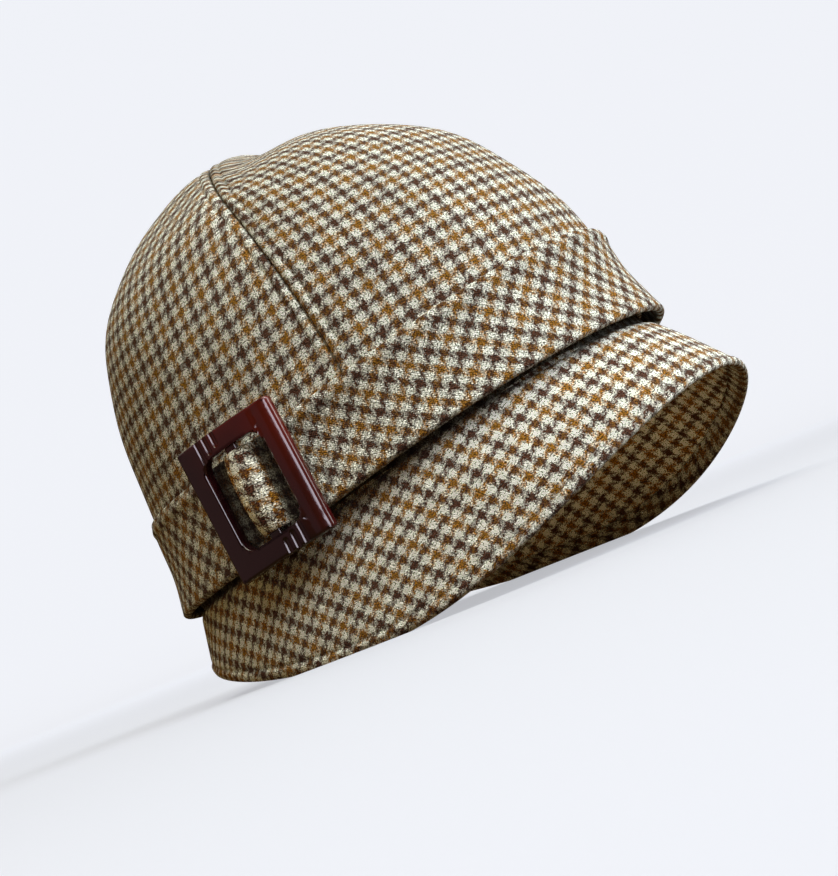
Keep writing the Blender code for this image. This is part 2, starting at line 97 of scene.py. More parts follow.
def add_node(tree: bpy.types.NodeTree, kind: str, inputs: dict[Any, Any], **settings: Any) -> bpy.types.Node:
    """Add a node, set it up and feed it.

    Args:
        tree: The tree that it goes into.
        kind: Blender's name for the kind of node, after its "ShaderNode".
        inputs: What its inputs get, as feed takes it.
        **settings: The node's own settings.

    Returns:
        The new node.
    """
    node = tree.nodes.new("ShaderNode" + kind)
    for name, value in settings.items():
        setattr(node, name, value)
    feed(tree, node, inputs)
    return node


def new_material(name: str) -> tuple[bpy.types.Material, bpy.types.Node]:
    """Start a material, and return it with its bare Principled shader."""
    material = bpy.data.materials.new(name)
    material.use_nodes = True
    return material, material.node_tree.nodes["Principled BSDF"]


@dataclass(frozen=True)
class GunClubTweed:
    """Brushed wool in a two-and-two twill, warped and woven in bands of four threads.

    The bands run cream, gold, cream, brown both ways, so cream stars stand
    between gold, rust and dark checks. The nap drags the colours over each
    other, so the stars have soft, speckled arms.
    """

    name: str
    cream: str = "#f4fbf3"
    gold: str = "#94671d"
    brown: str = "#4f2f20"
    haze: str = "#f2e8d2"
    check_mm: float = 5.9
    threads_per_band: int = 4
    slub_mm: float = 2.6
    slub_threads: float = 1.6
    fibre_mm: float = 0.95
    fibre_threads: float = 4.8
    veil: float = 0.4
    speck_mm: float = 0.62
    speck_span: tuple[float, float] = (0.28, 0.72)
    speck_shades: tuple[float, float] = (0.14, 1.9)
    mottle_mm: float = 22.0
    mottle_span: tuple[float, float] = (0.3, 0.7)
    mottle_shades: tuple[float, float] = (0.92, 1.06)
    fuzz: float = 2.2
    relief_mm: float = 0.38
    # Painted light: lift brightens the whole cloth, for copies of the tweed shown better lit.
    lift: float = 1.0
    # Painted shade: how dark the shade map makes the cloth at its darkest.
    painted_shade_strength: float = 0.86
    roughness: float = 0.95

    def material(self) -> bpy.types.Material:
        """Build the weave from its threads, on the cloth's own map."""
        material, shader = new_material(self.name)
        tree = material.node_tree
        add = partial(add_node, tree)
        per_metre = 2 * self.threads_per_band / (self.check_mm * MM)
        cloth = add("UVMap", {}, uv_map=CLOTH_MAP)
        straight = add("VectorMath", {0: cloth, 1: (per_metre, per_metre, 1)}, operation="MULTIPLY")
        # Slubs make the threads wander, which takes the ruled look off the checks.
        slub = add("TexNoise", {"Vector": cloth, "Scale": 1 / (self.slub_mm * MM), "Detail": 1.0})
        drift = {0: slub.outputs["Color"], 1: (self.slub_threads, self.slub_threads, 0), 2: straight}
        wander = add("VectorMath", drift, operation="MULTIPLY_ADD")
        # Brushed fibres lie both ways over their neighbours. Two layers of them fray the stars' arms.
        fibre = add("TexNoise", {"Vector": cloth, "Scale": 1 / (self.fibre_mm * MM), "Detail": 1.0})
        against = add("VectorMath", {0: (1, 1, 1), 1: fibre.outputs["Color"]}, operation="SUBTRACT")
        reach = (self.fibre_threads, self.fibre_threads, 0)
        layers = []
        for drag in (fibre.outputs["Color"], against):
            threads = add("VectorMath", {0: drag, 1: reach, 2: wander}, operation="MULTIPLY_ADD")
            layers.append(self.twill(tree, threads))
        woven = add("Mix", {"Factor": 0.5, 6: layers[0][0], 7: layers[1][0]}, data_type="RGBA")
        # Each fibre takes the dye a little differently, so the cloth sparkles close to.
        speck = add("TexNoise", {"Vector": cloth, "Scale": 1 / (self.speck_mm * MM), "Detail": 0.0})
        low, high = self.speck_span
        dim, bright = self.speck_shades
        glint = add("MapRange", {"Value": speck, 1: low, 2: high, 3: dim, 4: bright})
        # Handling and pressing leave slow patches, a little lighter or darker.
        mottle = add("TexNoise", {"Vector": cloth, "Scale": 1 / (self.mottle_mm * MM), "Detail": 2.0})
        low, high = self.mottle_span
        # The lift is painted light, raising the whole shade of a lit copy.
        dull, fresh = (shade * self.lift for shade in self.mottle_shades)
        patch = add("MapRange", {"Value": mottle, 1: low, 2: high, 3: dull, 4: fresh})
        # Painted shade: the shade map darkens the cloth where a seam, a fold or a tuck would lie in shade.
        painted_shade = add("SeparateXYZ", {0: add("UVMap", {}, uv_map=PAINTED_SHADE_MAP)}).outputs["X"]
        left_unshaded = add("Math", {0: painted_shade, 1: -self.painted_shade_strength, 2: 1.0}, operation="MULTIPLY_ADD")
        dyed = add("Math", {0: glint, 1: patch}, operation="MULTIPLY")
        shade = add("Math", {0: dyed, 1: left_unshaded}, operation="MULTIPLY")
        colour = add("VectorMath", {0: woven.outputs[2], "Scale": shade}, operation="SCALE")
        # Threads are round and dive under each other, which gives the twill its grain.
        within = add("SeparateXYZ", {0: add("VectorMath", {0: wander}, operation="FRACTION")})
        sides = {"Factor": layers[0][1], 2: within.outputs["X"], 3: within.outputs["Y"]}
        across = add("Mix", sides, data_type="FLOAT")
        yarn = add("Math", {0: add("Math", {0: across, 1: math.pi}, operation="MULTIPLY")}, operation="SINE")
        height = add("Math", {0: fibre, 1: self.fuzz, 2: yarn}, operation="MULTIPLY_ADD")
        finish = {
            "Base Color": colour,
            "Normal": add("Bump", {"Height": height, "Strength": 1.0, "Distance": self.relief_mm * MM}),
            "Roughness": self.roughness,
            "IOR": 1.45,
            "Specular IOR Level": 0.2,
            "Sheen Weight": 0.1,
            "Sheen Roughness": 0.55,
            "Sheen Tint": linear(self.haze),
        }
        feed(tree, shader, finish)
        return material

    def twill(self, tree: bpy.types.NodeTree, threads: bpy.types.Node) -> tuple[Any, bpy.types.Node]:
        """Find the colour that lies on top where two bands of threads cross.

        Args:
            tree: The material's nodes.
            threads: The place in the cloth, counted in threads.

        Returns:
            The colour, and whether the weft is the upper thread.
        """
        add = partial(add_node, tree)
        cell = add("VectorMath", {0: threads}, operation="FLOOR")
        cell_xy = add("SeparateXYZ", {0: cell})
        diagonal = add("Math", {0: cell_xy.outputs["X"], 1: cell_xy.outputs["Y"]}, operation="ADD")
        step = add("Math", {0: diagonal, 1: 4.0}, operation="FLOORED_MODULO")
        weft_up = add("Math", {0: step, 1: 1.5}, operation="GREATER_THAN")
        middle = add("VectorMath", {0: cell, 1: (0.5, 0.5, 0)}, operation="ADD")
        share = add("VectorMath", {0: middle, "Scale": 1 / (4 * self.threads_per_band)}, operation="SCALE")
        turn = add("SeparateXYZ", {0: add("VectorMath", {0: share}, operation="FRACTION")})
        warp = add("ValToRGB", {"Fac": turn.outputs["X"]})
        weft = add("ValToRGB", {"Fac": turn.outputs["Y"]})
        for ramp in (warp.color_ramp, weft.color_ramp):
            ramp.interpolation = "CONSTANT"
            for i, colour in enumerate((self.cream, self.gold, self.cream, self.brown)):
                stop = ramp.elements[i] if i < 2 else ramp.elements.new(i / 4)
                stop.position = i / 4
                stop.color = linear(colour)
        upper = add("Mix", {"Factor": weft_up, 6: warp, 7: weft}, data_type="RGBA")
        darker = add("Mix", {"Factor": 1.0, 6: warp, 7: weft}, data_type="RGBA", blend_type="DARKEN")
        # Raised fibres of the darker yarn veil the cream one, which leaves the cream stars standing alone.
        woven = add("Mix", {"Factor": self.veil, 6: upper.outputs[2], 7: darker.outputs[2]}, data_type="RGBA")
        return woven.outputs[2], weft_up


@dataclass(frozen=True)
class OxbloodPlastic:
    """Moulded and polished acrylic in dark oxblood, clouded, with painted light that reddens it towards the
    front and top.
    """

    name: str = "oxblood_acrylic"
    deep: str = "#280912"
    warm: str = "#701910"
    cloud_mm: float = 34.0
    swirl: float = 0.8
    # Painted light: how fast the colour reddens towards the front and the top.
    painted_light_reddening: float = 12.0
    red_from: float = 0.8
    red_full: float = 1.7
    wave_mm: float = 5.0
    wave_relief_mm: float = 0.05
    scuff_mm: float = 1.2
    scuff_span: tuple[float, float] = (0.3, 0.8)
    polish: tuple[float, float] = (0.14, 0.26)

    def material(self) -> bpy.types.Material:
        """Build the clouded colour and the polish."""
        material, shader = new_material(self.name)
        tree = material.node_tree
        add = partial(add_node, tree)
        place = add("TexCoord", {}).outputs["Object"]
        clouds = {"Vector": place, "Scale": 1 / (self.cloud_mm * MM), "Detail": 3.0, "Distortion": self.swirl}
        cloud = add("TexNoise", clouds)
        # Painted light: the colour turns redder towards the front bar and the top, where light falls, over
        # random clouds of dye.
        spot = add("SeparateXYZ", {0: place})
        lit_front = add("Math", {0: spot.outputs["Y"], 1: -self.painted_light_reddening, 2: cloud}, operation="MULTIPLY_ADD")
        lit_top = add("Math", {0: spot.outputs["Z"], 1: self.painted_light_reddening, 2: lit_front}, operation="MULTIPLY_ADD")
        blend = add("MapRange", {"Value": lit_top, 1: self.red_from, 2: self.red_full, 3: 0.0, 4: 1.0})
        mixed = add("Mix", {"Factor": blend, 6: linear(self.deep), 7: linear(self.warm)}, data_type="RGBA")
        wave = add("TexNoise", {"Vector": place, "Scale": 1 / (self.wave_mm * MM), "Detail": 1.0})
        scuff = add("TexNoise", {"Vector": place, "Scale": 1 / (self.scuff_mm * MM), "Detail": 4.0})
        low, high = self.scuff_span
        clean, worn = self.polish
        finish = {
            "Base Color": mixed.outputs[2],
            "Normal": add("Bump", {"Height": wave, "Strength": 1.0, "Distance": self.wave_relief_mm * MM}),
            "Roughness": add("MapRange", {"Value": scuff, 1: low, 2: high, 3: clean, 4: worn}),
            "IOR": 1.49,
            "Coat Weight": 0.5,
            "Coat Roughness": 0.12,
        }
        feed(tree, shader, finish)
        return material


@dataclass(frozen=True)
class StudioPaper:
    """A matt sweep of pale paper, a shade cooler than white."""

    name: str = "pale_paper"
    colour: str = "#7e838c"
    glow: str = "#f1f4fb"
    glow_near: float = 0.525
    glow_far: float = 0.925
    glow_from: float = 0.3
    glow_full: float = 2.6

    def material(self) -> bpy.types.Material:
        """Build the paper, lit up towards its far edge."""
        material, shader = new_material(self.name)
        tree = material.node_tree
        place = add_node(tree, "TexCoord", {}).outputs["Object"]
        away = add_node(tree, "VectorMath", {0: place}, operation="LENGTH").outputs["Value"]
        # The paper behind has lamps of its own, so it stays as pale as the floor near the hat.
        span = {"Value": away, 1: self.glow_from, 2: self.glow_full, 3: self.glow_near, 4: self.glow_far}
        finish = {
            "Base Color": linear(self.colour),
            "Roughness": 0.9,
            "Emission Color": linear(self.glow),
            "Emission Strength": add_node(tree, "MapRange", span, interpolation_type="SMOOTHSTEP"),
        }
        feed(tree, shader, finish)
        return material


def bell(off: np.ndarray, at: float, width: float) -> np.ndarray:
    """Give a rounded hump, 1 where off is at its middle."""
    return np.exp(-(((off - at) / width) ** 2))


def smoothstep(share: np.ndarray) -> np.ndarray:
    """Ease a share in and out between 0 and 1, and hold it beyond them."""
    held = np.clip(share, 0, 1)
    return held**2 * (3 - 2 * held)


def last_inside(inside: Callable[[np.ndarray], np.ndarray], limit: np.ndarray) -> np.ndarray:
    """Halve the way to where a test stops holding.

    Args:
        inside: The test, which holds at zero.
        limit: Values at which it doesn't hold.

    Returns:
        The largest values at which it holds.
    """
    low = np.zeros_like(limit)
    high = limit
    for _ in range(HALVINGS):
        middle = (low + high) / 2
        within = inside(middle)
        low = np.where(within, middle, low)
        high = np.where(within, high, middle)
    return (low + high) / 2


def path_lengths(points: np.ndarray) -> np.ndarray:
    """Measure the length so far at each point, along the last-but-one axis."""
    steps = np.linalg.norm(np.diff(points, axis=-2), axis=-1)
    start = np.zeros(steps.shape[:-1] + (1,))
    return np.concatenate([start, np.cumsum(steps, axis=-1)], axis=-1)


def unit(vectors: np.ndarray) -> np.ndarray:
    """Scale each vector to a length of 1."""
    return vectors / np.linalg.norm(vectors, axis=-1, keepdims=True)


def ripple(cloth: np.ndarray, height: float, length: float, phase: float) -> np.ndarray:
    """Make the slow unevenness of hand-pressed cloth.

    Args:
        cloth: Places on the flat cloth in mm.
        height: How far the waves stand up in mm.
        length: The longest wave in mm.
        phase: Shifts the waves, so that pieces differ.

    Returns:
        The height at each place.
    """
    total = np.zeros(cloth.shape[:-1])
    for i, (turn_deg, share) in enumerate(RIPPLES):
        turn = math.radians(turn_deg)
        along = cloth[..., 0] * math.cos(turn) + cloth[..., 1] * math.sin(turn)
        total += share * np.sin(math.tau * along / (length * share) + phase * (i + 1))
    return total * height / 2


def turned(cloth: np.ndarray, deg: float) -> np.ndarray:
    """Turn places on the flat cloth about its origin."""
    c, s = math.cos(math.radians(deg)), math.sin(math.radians(deg))
    return np.stack([cloth[..., 0] * c - cloth[..., 1] * s, cloth[..., 0] * s + cloth[..., 1] * c], -1)


def polar(angle: np.ndarray, reach: np.ndarray, height: np.ndarray) -> np.ndarray:
    """Give points at a reach and a height, an angle round from the front."""
    return np.stack([-reach * np.sin(angle), -reach * np.cos(angle), height], -1)


def eased(count: int, tightness: float) -> np.ndarray:
    """Give shares from 0 to 1 that lie closer together at both ends."""
    even = np.linspace(0, 1, count)
    return even - tightness * np.sin(math.tau * even) / math.tau


def direction(azimuth_deg: float, elevation_deg: float) -> Vector:
    """Point away from the hat, an azimuth round from the front towards the buckle."""
    azimuth, elevation = math.radians(azimuth_deg), math.radians(elevation_deg)
    level = math.cos(elevation)
    return Vector((-math.sin(azimuth) * level, -math.cos(azimuth) * level, math.sin(elevation)))


@dataclass(frozen=True)
class Station:
    """A row of a closed outline: its reach from the axis and its height."""

    deg: float
    reach: float
    height: float


@dataclass(frozen=True)
class Section:
    """A level section of the crown, an oval set back from the axis."""

    height: float
    setback: float
    half_length: float
    half_width: float


class Outline:
    """A closed outline that is even about the middle of the hat."""

    def __init__(self, stations: Sequence[Station]) -> None:
        """Fit a cosine series through the stations."""
        angles = np.radians([row.deg for row in stations])
        self.orders = np.arange(len(stations))
        basis = np.cos(np.outer(angles, self.orders))
        self.reach_terms = np.linalg.solve(basis, [row.reach for row in stations])
        self.height_terms = np.linalg.solve(basis, [row.height for row in stations])

    def at(self, angle: np.ndarray) -> tuple[np.ndarray, np.ndarray]:
        """Find the reach and the height at angles from the front, in radians."""
        waves = np.cos(np.multiply.outer(angle, self.orders))
        return waves @ self.reach_terms, waves @ self.height_terms


class Spline:
    """A natural cubic through rows of values, at given distances."""

    def __init__(self, distances: np.ndarray, rows: np.ndarray) -> None:
        """Solve for the curve's bends."""
        self.s = distances
        self.y = rows
        h = np.diff(distances)
        matrix = np.eye(len(distances))
        right = np.zeros_like(rows)
        slope = np.diff(rows, axis=0) / h[:, None]
        for i in range(1, len(distances) - 1):
            matrix[i, i - 1 : i + 2] = h[i - 1], 2 * (h[i - 1] + h[i]), h[i]
            right[i] = 6 * (slope[i] - slope[i - 1])
        self.bend = np.linalg.solve(matrix, right)

    def at(self, distance: np.ndarray) -> np.ndarray:
        """Find the row of values at each distance along the curve."""
        i = np.clip(np.searchsorted(self.s, distance) - 1, 0, len(self.s) - 2)
        h = (self.s[i + 1] - self.s[i])[..., None]
        a = (self.s[i + 1] - distance)[..., None] / h
        b = 1 - a
        curve = (a**3 - a) * self.bend[i] + (b**3 - b) * self.bend[i + 1]
        return a * self.y[i] + b * self.y[i + 1] + curve * h * h / 6


@dataclass(frozen=True)
class HatForm:
    """The driving outlines of the hat, in millimetres about the crown's axis."""

    brim_edge: tuple[Station, ...] = (
        Station(0, 124.0, -29.8),
        Station(45, 110.0, -46.3),
        Station(90, 99.5, -52.8),
        Station(135, 104.5, -31.8),
        Station(180, 109.0, -16.0),
    )
    band_fold: tuple[Station, ...] = (
        Station(0, 107.8, 1.9),
        Station(45, 99.2, 0.4),
        Station(90, 89.5, -2.2),
        Station(135, 98.9, -0.6),
        Station(180, 108.6, 2.4),
    )
    band_top: tuple[Station, ...] = (
        Station(0, 104.8, 39.5),
        Station(45, 94.4, 36.9),
        Station(90, 83.6, 34.5),
        Station(135, 92.9, 36.9),
        Station(180, 102.6, 39.1),
    )
    crown: tuple[Section, ...] = (
        Section(6.0, 1.5, 101.4, 84.4),
        Section(37.0, -0.4, 101.0, 81.4),
        Section(60.0, 0.2, 97.3, 77.2),
        Section(87.0, 2.4, 87.8, 69.9),
        Section(104.0, 4.8, 78.3, 61.8),
        Section(118.0, 7.4, 63.6, 50.2),
        Section(128.2, 9.2, 47.0, 36.5),
        Section(137.0, 9.8, 27.0, 21.2),
        Section(141.8, 9.6, 0.0, 0.0),
    )
    squareness: float = 2.1
    side_seam_deg: float = 67.5
    band_line: float = 37.0
    foot: float = 6.0
    collar: float = 13.0
    crown_cloth: float = 1.8
    brim_cloth: float = 1.5
    facing_cloth: float = 1.5
    gap: float = 0.3
    lean_deg: float = 11.5
    flattening: float = 1.2


@dataclass(frozen=True)
class SeamRelief:
    """How the cloth turns in at a seam: valley, rolled edge, ridge and topstitch."""

    valley: float = 0.8
    valley_width: float = 6.0
    roll: float = 1.2
    roll_width: float = 1.3
    ridge: float = 0.45
    ridge_at: float = 2.5
    ridge_width: float = 1.1
    stitch: float = 0.45
    stitch_at: float = 4.4
    stitch_width: float = 0.6
    pucker: float = 0.12
    pucker_length: float = 8.5
    pucker_reach: float = 7.0
    fade_height: float = 12.0
    fade_radius: float = 14.0
    # Painted shade: the width of the dark line painted along each seam.
    painted_shade_width: float = 0.45

    def depth(self, off: np.ndarray, along: np.ndarray) -> np.ndarray:
        """Work out how far the cloth lies under its smooth surface.

        Args:
            off: Distance from the seam in mm.
            along: Distance along the seam in mm.

        Returns:
            The depth in mm, less than zero where the cloth stands up.
        """
        rolled = self.roll * np.clip(1 - off / self.roll_width, 0, 1) ** 2
        ridge = self.ridge * bell(off, self.ridge_at, self.ridge_width)
        stitch = self.stitch * bell(off, self.stitch_at, self.stitch_width)
        wave = np.sin(math.tau * along / self.pucker_length)
        pucker = self.pucker * wave * np.exp(-off / self.pucker_reach)
        return self.valley * bell(off, 0, self.valley_width) + rolled - ridge + stitch + pucker


@dataclass
class Crown:
    """The crown's outer surface, from its foot up to the point of the gores."""

    form: HatForm
    seam: SeamRelief
    dent: float = 5.0
    dent_from: float = 104.0
    dent_ahead: float = 25.0
    dent_behind: float = 10.0
    dent_before: float = 15.0
    dent_across: float = 32.0
    inside_height: float = 20.0
    slope_step: float = 0.5

    def __post_init__(self) -> None:
        """Pass a smooth profile through the level sections."""
        rows = np.array([(s.height, s.setback, s.half_length, s.half_width) for s in self.form.crown])
        steps = np.hypot(np.diff(rows[:, 0]), np.diff(rows[:, 2]))
        distances = np.concatenate([[0], np.cumsum(steps)])
        beyond = rows[-2::-1] * (1, 1, -1, -1)
        mirrored = 2 * distances[-1] - distances[-2::-1]
        self.spline = Spline(np.concatenate([distances, mirrored]), np.concatenate([rows, beyond]))
        self.top = float(distances[-1])

    def reach(self, angle: np.ndarray, height: np.ndarray) -> np.ndarray:
        """Find the distance from the axis to the smooth surface, at a level.

        Args:
            angle: Angles from the front in radians.
            height: Heights in mm.

        Returns:
            The reach in mm.
        """
        power = self.form.squareness
        distance = last_inside(lambda s: self.spline.at(s)[..., 0] < height, np.full_like(height, self.top))
        row = self.spline.at(distance)

        def within(reach: np.ndarray) -> np.ndarray:
            """Tell whether a reach is still inside the level oval."""
            x = np.abs(reach * np.sin(angle)) / row[..., 3]
            y = np.abs(-reach * np.cos(angle) - row[..., 1]) / row[..., 2]
            return x**power + y**power < 1

        return last_inside(within, 2 * row[..., 2])

    def smooth(self, angle: np.ndarray, distance: np.ndarray) -> tuple[np.ndarray, np.ndarray]:
        """Find points of the crown before its seams and dent are pressed in.

        Args:
            angle: Angles from the front in radians.
            distance: Distances up the profile in mm.

        Returns:
            The points, and their distance from the section's middle.
        """
        row = self.spline.at(distance)
        length = np.maximum(row[..., 2], 1e-6)
        width = np.maximum(row[..., 3], 1e-6)
        power = self.form.squareness
        across = np.abs(np.sin(angle) / width) ** power
        radius = (across + np.abs(np.cos(angle) / length) ** power) ** (-1 / power)
        y = row[..., 1] - radius * np.cos(angle)
        return np.stack([-radius * np.sin(angle), y, row[..., 0]], -1), radius

    def sink(
        self, point: np.ndarray, radius: np.ndarray, angle: np.ndarray, distance: np.ndarray
    ) -> np.ndarray:
        """Work out how far the cloth lies under the smooth surface.

        Args:
            point: Points of the smooth surface.
            radius: Their distance from the section's middle.
            angle: Their angles in radians.
            distance: Their distances up the profile.

        Returns:
            The depth in mm.
        """
        above = np.clip((point[..., 2] - self.form.band_line) / self.seam.fade_height, 0, 1)
        depth = np.zeros_like(radius)
        for seam in (self.form.side_seam_deg, -self.form.side_seam_deg, 180.0):
            turn = (angle - math.radians(seam) + math.pi) % math.tau - math.pi
            depth += self.seam.depth(radius * np.abs(turn), distance)
        depth *= above * np.minimum(radius / self.seam.fade_radius, 1)
        off = self.form.crown[-1].setback - point[..., 1] - self.dent_ahead
        spread = np.where(off > 0, self.dent_before, self.dent_behind)
        dent = self.dent * bell(off, 0, spread) * bell(point[..., 0], 0, self.dent_across)
        return depth + np.where(point[..., 2] > self.dent_from, dent, 0)

    def cloth(self, angle: np.ndarray, distance: np.ndarray, puff: np.ndarray) -> np.ndarray:
        """Find points on the cloth's outer face.

        Args:
            angle: Angles from the front in radians.
            distance: Distances up the profile in mm.
            puff: How far each point stands out of the smooth surface.

        Returns:
            The points.
        """
        low = np.clip(distance - self.slope_step, 0, None)
        high = np.clip(distance + self.slope_step, None, self.top - 1e-3)
        point, radius = self.smooth(angle, distance)
        turn = self.slope_step / np.maximum(radius, self.slope_step)
        up = self.smooth(angle, high)[0] - self.smooth(angle, low)[0]
        level = (low + high) / 2
        normal = unit(np.cross(up, self.smooth(angle - turn, level)[0] - self.smooth(angle + turn, level)[0]))
        out = (normal * (point - (0, 0, self.inside_height))).sum(-1, keepdims=True)
        normal *= np.where(out < 0, -1, 1)
        return point + normal * (puff - self.sink(point, radius, angle, distance))[..., None]


class RestPlace:
    """Where the hat lies: leaned back onto the two low sides of its brim."""

    def __init__(self, form: HatForm, crown: Crown) -> None:
        """Work out the lean, the lift and the shift that the frame has."""
        pitch = math.radians(form.lean_deg)
        angle = np.radians(np.arange(181.0))
        reach, height = Outline(form.brim_edge).at(angle)
        lowest = height * math.cos(pitch) + reach * np.cos(angle) * math.sin(pitch)
        lift = -float(lowest.min()) - form.flattening
        leaned = Matrix.Translation((0, 0, lift)) @ Matrix.Rotation(-pitch, 4, "X")
        foot, _ = crown.smooth(np.zeros(1), np.zeros(1))
        foremost = (leaned @ Vector(foot[0])).y
        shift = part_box("crown_front_gore")[0].y / MM - foremost
        self.matrix = Matrix.Scale(MM, 4) @ Matrix.Translation((0, shift, 0)) @ leaned

    def settle(self, points: np.ndarray) -> np.ndarray:
        """Lay points down in the frame, and flatten what would go under it.

        Args:
            points: Points in mm about the crown's axis.

        Returns:
            Points in metres, as the hat rests.
        """
        matrix = np.array(self.matrix)
        laid = points @ matrix[:3, :3].T + matrix[:3, 3]
        laid[..., 2] = np.maximum(laid[..., 2], 0)
        return laid


def new_object(name: str, bm: bmesh.types.BMesh) -> bpy.types.Object:
    """Put a shape, in its place, into the scene as an object, and free the bmesh."""
    mesh = bpy.data.meshes.new(name)
    bm.to_mesh(mesh)
    bm.free()
    obj = bpy.data.objects.new(name, mesh)
    bpy.context.scene.collection.objects.link(obj)
    return obj


def finish_piece(name: str, bm: bmesh.types.BMesh, material: bpy.types.Material) -> bpy.types.Object:
    """Turn a shape into a smooth object with one material."""
    obj = new_object(name, bm)
    obj.data.shade_smooth()
    obj.data.materials.append(material)
    return obj


def fit(piece: bpy.types.Object, node: str) -> None:
    """Put a piece in a solid's place and report it.

    Args:
        piece: The finished piece.
        node: The solid that it stands for.
    """
    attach(piece, BODY)
    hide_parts(node)
    LOG.info("%s stands for %s: %d faces", piece.name, node, len(piece.data.polygons))


class Edges(Enum):
    """How the borders of a grid of cloth are closed."""

    OPEN = "a flat piece, given its thickness by a wall"
    TUBE = "a ring whose section is closed"


@dataclass
class ClothPiece:
    """A piece of cloth laid over a table of places, column by column."""

    name: str
    places: np.ndarray
    cloth: np.ndarray
    edges: Edges
    # How much painted shade darkens each place, from 0 to 1.
    painted_shade: np.ndarray
    wall: float = 0.0

    def build(self, rest: RestPlace, material: bpy.types.Material) -> bpy.types.Object:
        """Make the mesh, its cloth map and its wall.

        Args:
            rest: Where the hat lies.
            material: The cloth's finish.

        Returns:
            The piece's object.
        """
        columns, rows = self.places.shape[:2]
        laid = rest.settle(self.places)
        bm = bmesh.new()
        bmesh.ops.create_grid(bm, x_segments=columns - 1, y_segments=rows - 1, size=0.5)
        cloth_map = bm.loops.layers.uv.new(CLOTH_MAP)
        # The second map carries the painted shade to the material.
        painted_shade_map = bm.loops.layers.uv.new(PAINTED_SHADE_MAP)
        spots = {}
        for vert in bm.verts:
            spots[vert] = (round((vert.co.x + 0.5) * (columns - 1)), round((vert.co.y + 0.5) * (rows - 1)))
        for face in bm.faces:
            for loop in face.loops:
                loop[cloth_map].uv = self.cloth[spots[loop.vert]] * MM
                loop[painted_shade_map].uv = (self.painted_shade[spots[loop.vert]], 0)
        for vert, spot in spots.items():
            vert.co = laid[spot]
        bmesh.ops.remove_doubles(bm, verts=bm.verts, dist=1e-6)
        if self.edges is Edges.TUBE:
            bmesh.ops.recalc_face_normals(bm, faces=bm.faces)
        else:
            self.face_outwards(bm)
        obj = finish_piece(self.name, bm, material)
        if self.wall:
            wall = obj.modifiers.new("wall", "SOLIDIFY")
            wall.thickness = self.wall * MM
            wall.offset = -1
        return obj

    @staticmethod
    def face_outwards(bm: bmesh.types.BMesh) -> None:
        """Turn an open sheet's faces away from the middle of the hat."""
        bm.normal_update()
        out = sum(face.normal.dot(face.calc_center_median() - HOLLOW_MIDDLE) for face in bm.faces)
        if out < 0:
            bmesh.ops.reverse_faces(bm, faces=bm.faces)


@dataclass(frozen=True)
class GoreGrain:
    """How a gore's flat cloth lies over the dome.

    The rows of checks are level and the columns upright at the gore's middle.
    Steam and stretch draw the columns in with the edges, ease more rows in
    over the shoulder of the crown, and let the rows drop towards the edges.
    """

    narrowing: float
    even_within: float
    drop: float
    drop_from: float
    drop_length: float
    eased: float
    eased_at: float
    eased_over: float
    turn_deg: float


